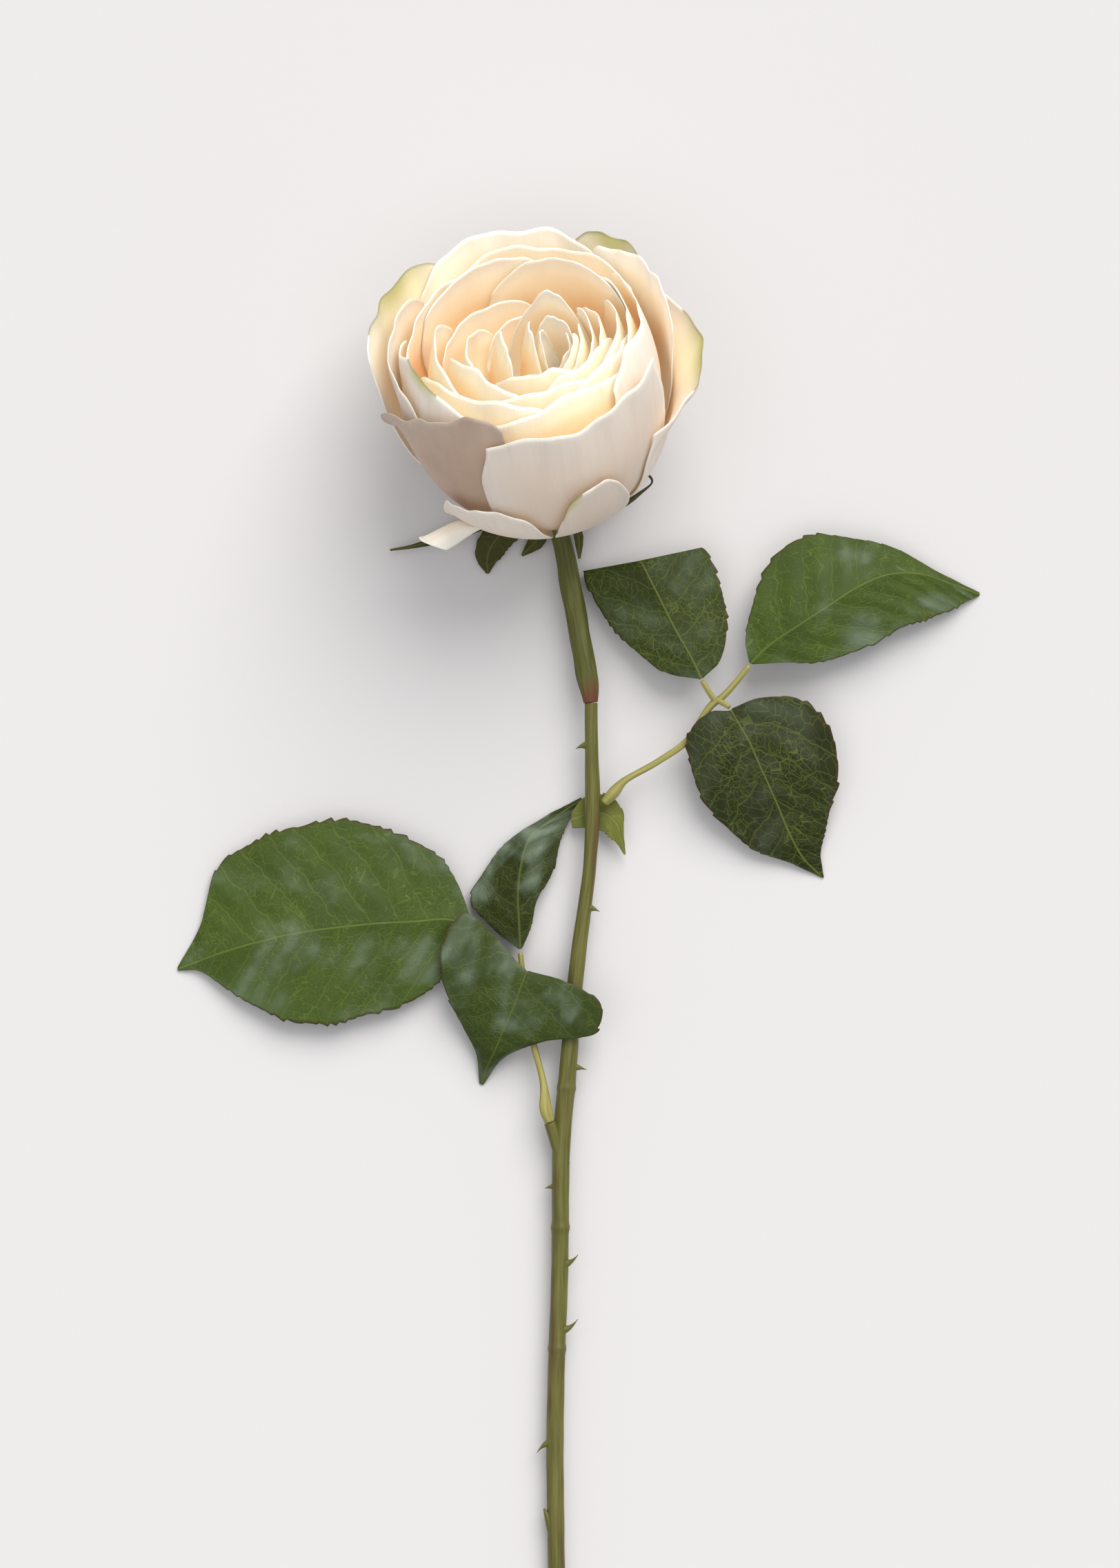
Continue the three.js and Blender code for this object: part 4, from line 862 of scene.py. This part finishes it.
def limb_grid(line, radii, sides, ridge=0.0, seed=0):
    """Circles round a line: centre plus radius times (cos, sin) of two directions across
    the tangent. Ridge adds a few percent of slow waves. Both ends close on the centre."""
    tangent = unit(np.gradient(line, axis=0))
    level = np.cross(tangent, [0.0, 0.0, 1.0])
    steep = np.linalg.norm(level, axis=1) < 0.1
    level[steep] = np.cross(tangent[steep], [1.0, 0.0, 0.0])
    level = unit(level)
    other = np.cross(level, tangent)
    run = run_length(line)
    angle = np.linspace(0, 2 * math.pi, sides, endpoint=False)[None, :]
    rng = np.random.default_rng(seed)
    swell = 1 + ridge * sum(
        np.sin(n * angle + p + q * run[:, None])
        for n, p, q in zip(SWELL_LOBES, rng.uniform(0, 6, 3), SWELL_TURNS)
    )
    wide = (np.asarray(radii)[:, None] * swell)[..., None]
    across = np.cos(angle)[..., None] * level[:, None] + np.sin(angle)[..., None] * other[:, None]
    ring = line[:, None] + wide * across
    caps = [np.broadcast_to(line[k], (1, sides, 3)) for k in (0, -1)]
    grid = np.concatenate([caps[0], ring, caps[1]])
    along = np.concatenate([[run[0]], run, [run[-1]]])
    facts = {
        "along": np.repeat(along, sides),
        "around": np.tile(angle[0] * np.mean(radii), len(along)),
    }
    return grid, facts


def join_limbs(limbs):
    """Several closed limbs as one mesh: points after points, faces numbered on."""
    points, faces, facts, count = [], [], {"along": [], "around": []}, 0
    for grid, limb_facts in limbs:
        rows, sides = grid.shape[:2]
        points.append(grid.reshape(-1, 3))
        faces.append(grid_quads(rows, sides, wrap=True)[:, ::-1] + count)
        for key in facts:
            facts[key].append(np.asarray(limb_facts[key]))
        count += rows * sides
    facts = {key: np.concatenate(values) for key, values in facts.items()}
    return np.concatenate(points), np.concatenate(faces), facts


def weld(piece):
    """Closes the poles: the cap's points lie on one place and become one."""
    work = bmesh.new()
    work.from_mesh(piece.data)
    bmesh.ops.remove_doubles(work, verts=work.verts, dist=1e-7)
    bmesh.ops.recalc_face_normals(work, faces=work.faces)
    work.to_mesh(piece.data)
    work.free()


def limb(stations, count, sides, scale, ridge=0.0, seed=0):
    """A limb along x, y, z and radius stations; scale turns radius shares into mm."""
    path = spline(stations, count)
    return limb_grid(path[:, :3], path[:, 3] * scale, sides, ridge, seed)


def make_limbs(name, limbs, material, slot):
    """One moulded piece out of one or more limbs, in place of its solid."""
    piece = make_piece(name + "_moulded", *join_limbs(limbs), [material], slot)
    weld(piece)
    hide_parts(name)


# %% [markdown]
# The stem is one smooth curve through stations: x, y, z and the radius as a share of the
# stem's. Rings swell it at the joints. Thorns are curved cones with a wide foot, and a socket
# and a bud scale stand out of it as short limbs.

# %% The stem
NECK_FOOT = 251.0
STEM_RADIUS = 2.5
NECK_RADIUS = 3.0
STEM = [
    (9.0, NECK_FOOT, NECK_RADIUS + 5.1, 0.74), (9.1, 238, 8.0, 0.76), (9.4, 222, 7.7, 0.9),
    (8.6, 204, 7.3, 0.76), (4.7, 173, 6.8, 0.92), (2.4, 146, 6.5, 1.0), (0.4, 122, 6.2, 1.04),
    (0.0, 90, 5.7, 0.98), (-1.4, 42, 5.0, 1.0), (-1.0, 0, 4.4, 1.0),
    (0.6, 0.55 * STEM_CUT_Y, 3.4, 1.0), (1.6, STEM_CUT_Y, STEM_RADIUS + 0.1, 1.0),
]
RINGS = [(139.5, 0.1), (99, 0.12), (64, 0.11), (-40, 0.1)]  # y, swelling
RING_HALF = 1.1
# y, degrees round the stem from +X, length from its middle line, tilt along it
THORNS = [
    (238.6, 172, 4.6, -1.0), (191.5, 12, 4.4, -1.0), (145.5, 8, 5.4, -0.8),
    (111, 170, 4.6, -0.6), (88.6, 20, 5.6, 2.6), (69.5, 15, 6.0, 3.0),
    (36.6, 168, 5.4, -2.8), (-26, 30, 5.4, 1.6), (-70, 150, 5.0, -1.4),
]
THORN_FOOT = 2.1
THORN_TIP = 0.08


def stem_at(heights):
    """x, y, z and radius at each height, from a fine spline read off by y."""
    path = spline(STEM, 1200)[::-1]
    heights = np.asarray(heights, dtype=float)
    return np.stack([np.interp(heights, path[:, 1], path[:, k]) for k in range(4)], axis=-1)


stem_y = np.linspace(NECK_FOOT - 0.05, STEM_CUT_Y, 720)
stem_path = stem_at(stem_y)
swelling = 1 + sum(s * np.exp(-(((stem_y - y) / RING_HALF) ** 2)) for y, s in RINGS)
stem_radii = stem_path[:, 3] * STEM_RADIUS * swelling
stem_limbs = [limb_grid(stem_path[:, :3], stem_radii, 40, 0.012, 3)]
for y, degrees, reach, tilt in THORNS:
    foot = stem_at([y])[0]
    turned = math.radians(degrees)
    t = np.linspace(0.2, 1, 16)
    line = np.stack([
        foot[0] + math.cos(turned) * reach * t,
        foot[1] + tilt * (t - 0.25) ** 2 * 1.8,
        foot[2] + math.sin(turned) * reach * t,
    ], axis=-1)
    stem_limbs.append(limb_grid(line, THORN_FOOT * (1 - t) ** 1.35 + THORN_TIP, 16))
SOCKET_TOP = np.array([-2.9, 129.4, 7.6])
SOCKET_WAY = np.array([-0.31, 0.94, 0.12]) / np.linalg.norm([-0.31, 0.94, 0.12])


def beyond_socket(distance, share):
    """A station past the socket's top, in the direction that the socket points."""
    return (*(SOCKET_TOP + distance * SOCKET_WAY), share)


SOCKET = [(1.0, 117, 6.3, 0.8), beyond_socket(-6.6, 0.76), beyond_socket(0, 0.7)]
BUD_SCALE = [(-1.0, 8, 4.6, 0.8), (-2.6, 13, 4.9, 0.62), (-4.6, 17.6, 5.3, 0.12)]
stem_limbs.append(limb(SOCKET, 30, 28, STEM_RADIUS))
stem_limbs.append(limb(BUD_SCALE, 24, 20, STEM_RADIUS))
make_limbs("stem", stem_limbs, stem_skin, "stem")
print("stem with", len(THORNS), "thorns")

# %% [markdown]
# The neck is a thicker sleeve between the bloom and the stem. The receptacle above it is
# turned, like a small vase: a profile of radius and height goes once round the bloom's axis.

# %% Neck and receptacle
HIP_RADIUS = 5.2
HIP_STEPS, HIP_SIDES = 90, 40
zero = np.zeros(1)
hip_foot = in_bloom(zero, zero, np.array([hip_foot_height]))[0]
under_hip = in_bloom(zero, zero, np.array([hip_foot_height - 2.5]))[0]
NECK = [
    (*hip_foot, 0.88), (*under_hip, 0.92), (0.9, 296.5, hip_foot[2] * 0.69, 0.92),
    (3.0, 285.4, NECK_RADIUS + 2.6, 1.0), (6.0, 268.6, NECK_RADIUS + 4.2, 1.0),
    (8.2, 257, NECK_RADIUS + 4.9, 1.05), (8.9, NECK_FOOT, NECK_RADIUS + 5.1, 0.7),
]
make_limbs("neck", [limb(NECK, 160, 36, NECK_RADIUS, 0.03, 5)], neck_skin, "neck")

profile = spline([
    (0, hip_top - HIP_LENGTH, 0), (NECK_RADIUS * 0.9, hip_top - HIP_LENGTH, 0),
    (HIP_RADIUS * 0.9, hip_top - HIP_LENGTH * 0.6, 0), (HIP_RADIUS, hip_top - HIP_LENGTH * 0.25, 0),
    (HIP_RADIUS * 0.85, hip_top, 0), (COLUMN_RADIUS, hip_top + 0.2, 0),
    (COLUMN_RADIUS, -HEART_RADIUS * 0.5, 0), (COLUMN_RADIUS * 0.6, HEART_RADIUS * 0.2, 0),
    (0, HEART_RADIUS * 0.45, 0),
], HIP_STEPS)
turn_angle = np.linspace(0, 2 * math.pi, HIP_SIDES, endpoint=False)
vase = in_bloom(*np.broadcast_arrays(
    turn_angle[None, :], np.maximum(profile[:, :1], 0), profile[:, 1:2]
))
vase_facts = {
    "along": np.repeat(profile[:, 1], HIP_SIDES),
    "around": np.tile(turn_angle * HIP_RADIUS, HIP_STEPS),
}
make_limbs("receptacle", [(vase, vase_facts)], neck_skin, "neck")
print("neck and receptacle made")

# %% [markdown]
# Leaf stalks have a swollen foot where they plug in, and two short side stalks at the hub.
# Each is a few limbs joined as one mesh, since the real ones are moulded in one piece. The
# foot's place comes from the stem or from its socket, so that it always meets it.

# %% Leaf stalks
PETIOLE_RADIUS = 0.95
UPPER_LEAF_Y = 221.6


def side_stalk(stations):
    return limb(stations, 24, 16, PETIOLE_RADIUS)


node_x, node_y, node_z, node_r = stem_at([UPPER_LEAF_Y])[0]
upper_foot = node_x + node_r * STEM_RADIUS + PETIOLE_RADIUS + GAP
make_limbs("petiole_upper", [
    limb([
        (upper_foot, node_y + 0.4, node_z + 0.5, 1.3),
        (upper_foot + 2.6, node_y + 3.2, node_z + 1.2, 1.8),
        (18.6, 228.2, 9.6, 1.15), (28.8, 234.2, 10.0, 1), (37, 240.2, 9.8, 1),
        (43.6, 250, 10.4, 1.05), (47, 252.6, 11.2, 1.0), (54.8, 261.6, 12.3, 0.8),
    ], 90, 20, PETIOLE_RADIUS, 0.04, 1),
    side_stalk([(44.8, 251.4, 10.8, 0.9), (43, 254, 11.6, 0.85), (41.1, 257.1, 12.3, 0.75)]),
    side_stalk([(45.2, 251.8, 10.9, 0.9), (47.4, 250.6, 11.8, 0.85), (48.9, 249.6, 12.5, 0.75)]),
], petiole_skin, "petiole")
make_limbs("petiole_lower", [
    limb([
        beyond_socket(1.4 * GAP, 1.5), beyond_socket(4, 1.8),
        (-4.8, 141, 7.3, 1.1), (-7.6, 152, 6.9, 1), (-10.4, 168, 7.4, 1), (-11.4, 178.6, 7.6, 0.8),
    ], 90, 20, PETIOLE_RADIUS, 0.04, 2),
    side_stalk([(-10.6, 171, 7.4, 0.9), (-17, 179.6, 7.2, 0.85), (-24.8, 186.5, 6.9, 0.75)]),
    side_stalk([(-10.4, 168.4, 7.3, 0.9), (-10.2, 171.4, 10, 0.85), (-9.8, 172.9, 11.8, 0.75)]),
], petiole_skin, "petiole")
print("leaf stalks made")

# %% [markdown]
# The scale behind the upper leaf's foot is drawn like a small blade. The five sepals under
# the bloom are narrow, and one of them curls, so a ribbon suits them better: one middle
# line with a half width and a twist.

# %% Scale and sepals
scale_green = leaf_material("scale_green", (0.095, 0.1, 0.016), (0.2, 0.26, 0.07), 0.5, 0.4)
sepal_green = leaf_material("sepal_green", (0.036, 0.038, 0.006), (0.13, 0.13, 0.035), 0.55, 0.5)
STIPULE = [
    [(3.4, 219.4, 4.2), (3.2, 217.2, 4.2), (3.6, 214.6, 4.2)],
    [(7.0, 223.6, 4.5), (7.6, 218.6, 4.4), (8.4, 214.6, 4.4)],
    [(13.2, 224.4, 5.0), (13.2, 218.8, 5.0), (13, 213.4, 5.0)],
    [(18.2, 219.8, 5.4), (16.8, 215.4, 5.4), (14.6, 211.6, 5.2)],
    [(18.4, 213.4, 5.2), (17.6, 212.2, 5.2), (16.2, 210.4, 5.0)],
    [(19.0, 207.2, 4.6), (18.8, 207, 4.6), (18.6, 206.8, 4.6)],
]
make_blade("stipule", STIPULE, [scale_green, scale_green], 9, 31, 61, teeth=0.12, quilt=0.1)

# name: twist in degrees, then stations: x and y from the hip's foot, the height above the
# table as a share of that foot's, and the half width
SEPALS = {
    "sepal_hanging": (0, [
        (-6.1, 0, 1.12, 1.6), (-11.5, -2.6, 0.65, 3.4), (-16.9, -6.2, 0.38, 4.4),
        (-19.5, -11.2, 0.24, 3.6), (-19.5, -16.2, 0.15, 0.3),
    ]),
    "sepal_left": (0, [
        (-3.7, -3.2, 0.59, 1.4), (-5.1, -6.4, 0.38, 2.4), (-9.5, -11, 0.21, 0.3),
    ]),
    "sepal_small": (0, [
        (5.9, -1, 1.06, 1), (6.9, -6, 0.94, 1.3), (7.1, -12, 0.82, 0.3),
    ]),
    "sepal_curled": (120, [
        (6.9, 4, 1.65, 1.4), (12.5, 1, 1.38, 1.2), (18.5, 3, 1.29, 1.3),
        (24.5, 6.8, 1.47, 1), (28.1, 10.4, 1.68, 0.8), (24.7, 14, 1.71, 0.3),
    ]),
    "sepal_long": (0, [
        (-6.7, 5, 1.56, 1.4), (-18.5, -0.6, 0.94, 2), (-31.5, -5.6, 0.59, 1.5),
        (-40.5, -8.2, 0.44, 0.6), (-47.7, -9.4, 0.35, 0.25),
    ]),
}


SEPAL_COLUMNS, SEPAL_STEPS = 21, 81


def ribbon_surface(line, twist, columns, steps, seed):
    """Middle line plus u times the half width along a level direction across the line,
    turned about the tangent by the twist as it goes, and cupped by u squared."""
    path = spline(line, steps)
    middle, half = path[:, None, :3], path[:, 3][:, None]
    tangent = unit(np.gradient(path[:, :3], axis=0))
    side = unit(np.stack([tangent[:, 1], -tangent[:, 0], 0 * tangent[:, 0]], axis=1))
    turned = np.radians(twist * np.linspace(0, 1, steps))[:, None]
    side = side * np.cos(turned) + np.cross(tangent, side) * np.sin(turned)
    up = np.cross(side, tangent)
    u = np.linspace(-1, 1, columns)[None, :]
    run = run_length(path[:, :3])[:, None]
    tooth = 1 + 0.03 * np.sin(run * 2.3 + seed) * np.abs(u) ** 4
    sideways = (u * half * tooth)[..., None] * side[:, None]
    cupped = (0.12 * half * (1 - u**2))[..., None] * up[:, None]
    grid = middle + sideways + cupped
    across = u * half
    facts = {
        "across": across,
        "along": run + 0 * across,
        "edge": np.abs(u) + 0 * across,
        "seed": np.full_like(across, seed),
    }
    return grid, facts, np.stack([across, run + 0 * across], axis=-1) / 100


for number, (sepal_name, (sepal_twist, stations)) in enumerate(SEPALS.items()):
    sepal_line = [
        (HIP_X + x, HIP_Y + y, hip_foot[2] * share, half) for x, y, share, half in stations
    ]
    grid, sepal_facts, sepal_uv = ribbon_surface(
        sepal_line, sepal_twist, SEPAL_COLUMNS, SEPAL_STEPS, number + 20
    )
    sepal = make_piece(
        sepal_name + "_cloth", grid, grid_quads(SEPAL_STEPS, SEPAL_COLUMNS), sepal_facts,
        [sepal_green], "sepal", sepal_uv,
    )
    thicken(sepal, LEAF_THICKNESS, 0, 0)
    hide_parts(sepal_name)
print("sepals", len(SEPALS))

# %% [markdown]
# The table is a plain pale plane that runs out of view. Two far lamps with wide soft discs
# light it: a strong one beyond the bloom, a little to the right, and a weak one nearly
# overhead. An even sky fills the shade. Far lamps were chosen because they light the whole
# length of the stem alike, which a panel close by would not.

# %% Table, light and camera
VIEW_CENTRE = np.array([0.0, 227.4, 0.0]) + drawing_shift
VIEW_HEIGHT = 454.8
CAMERA_HEIGHT = 3.0  # metres
SENSOR_HEIGHT = 36.0
TABLE_HALF = 3  # metres
PAPER_LIGHT = (0.602, 0.59, 0.592)
PAPER_DARK = (0.57, 0.56, 0.562)

table = bpy.data.meshes.new("table")
ways = ((-1, -1), (1, -1), (1, 1), (-1, 1))
table_corners = [(x * TABLE_HALF, y * TABLE_HALF, 0) for x, y in ways]
table.from_pydata(table_corners, [], [(0, 1, 2, 3)])
table_top = bpy.data.objects.new("table", table)
bpy.context.scene.collection.objects.link(table_top)
table_skin, table_place, table_shader = new_material("table_paper", 0.9, 0.1)
shade = noise(table_place, table_place, 900.0, 2.0)
paper = (shade * 0.02).blend(PAPER_LIGHT, PAPER_DARK)
table_place.plug(table_shader.inputs["Base Color"], paper)
table.materials.append(table_skin)

world = bpy.data.worlds.new("studio")
bpy.context.scene.world = world
world.use_nodes = True
sky = world.node_tree.nodes["Background"]
sky.inputs["Color"].default_value = (0.96, 0.98, 1.0, 1.0)
sky.inputs["Strength"].default_value = 0.5


def far_lamp(name, toward, strength, softness, colour):
    """A sun: the same light everywhere, its shadows softened by its width in degrees."""
    data = bpy.data.lights.new(name, "SUN")
    data.energy = strength
    data.angle = math.radians(softness)
    data.color = colour
    lamp = bpy.data.objects.new(name, data)
    level = math.hypot(toward[0], toward[1])
    lamp.rotation_euler = (math.atan2(level, toward[2]), 0, math.atan2(toward[0], -toward[1]))
    bpy.context.scene.collection.objects.link(lamp)


far_lamp("key_lamp", (0.3, 0.75, 0.8), 3.0, 45, (1.0, 0.98, 0.95))
far_lamp("top_lamp", (-0.1, -0.1, 1.0), 0.9, 75, (1.0, 1.0, 1.0))

camera_data = bpy.data.cameras.new("camera")
camera_data.sensor_fit = "VERTICAL"
camera_data.sensor_height = SENSOR_HEIGHT
camera_data.lens = SENSOR_HEIGHT * CAMERA_HEIGHT / (VIEW_HEIGHT * MM)
camera_data.clip_end = 20
camera = bpy.data.objects.new("camera", camera_data)
camera.location = (VIEW_CENTRE[0] * MM, VIEW_CENTRE[1] * MM, CAMERA_HEIGHT)
bpy.context.scene.collection.objects.link(camera)
bpy.context.scene.camera = camera
bpy.context.scene.view_settings.view_transform = "Standard"
print("camera lens", round(camera_data.lens, 1), "mm")
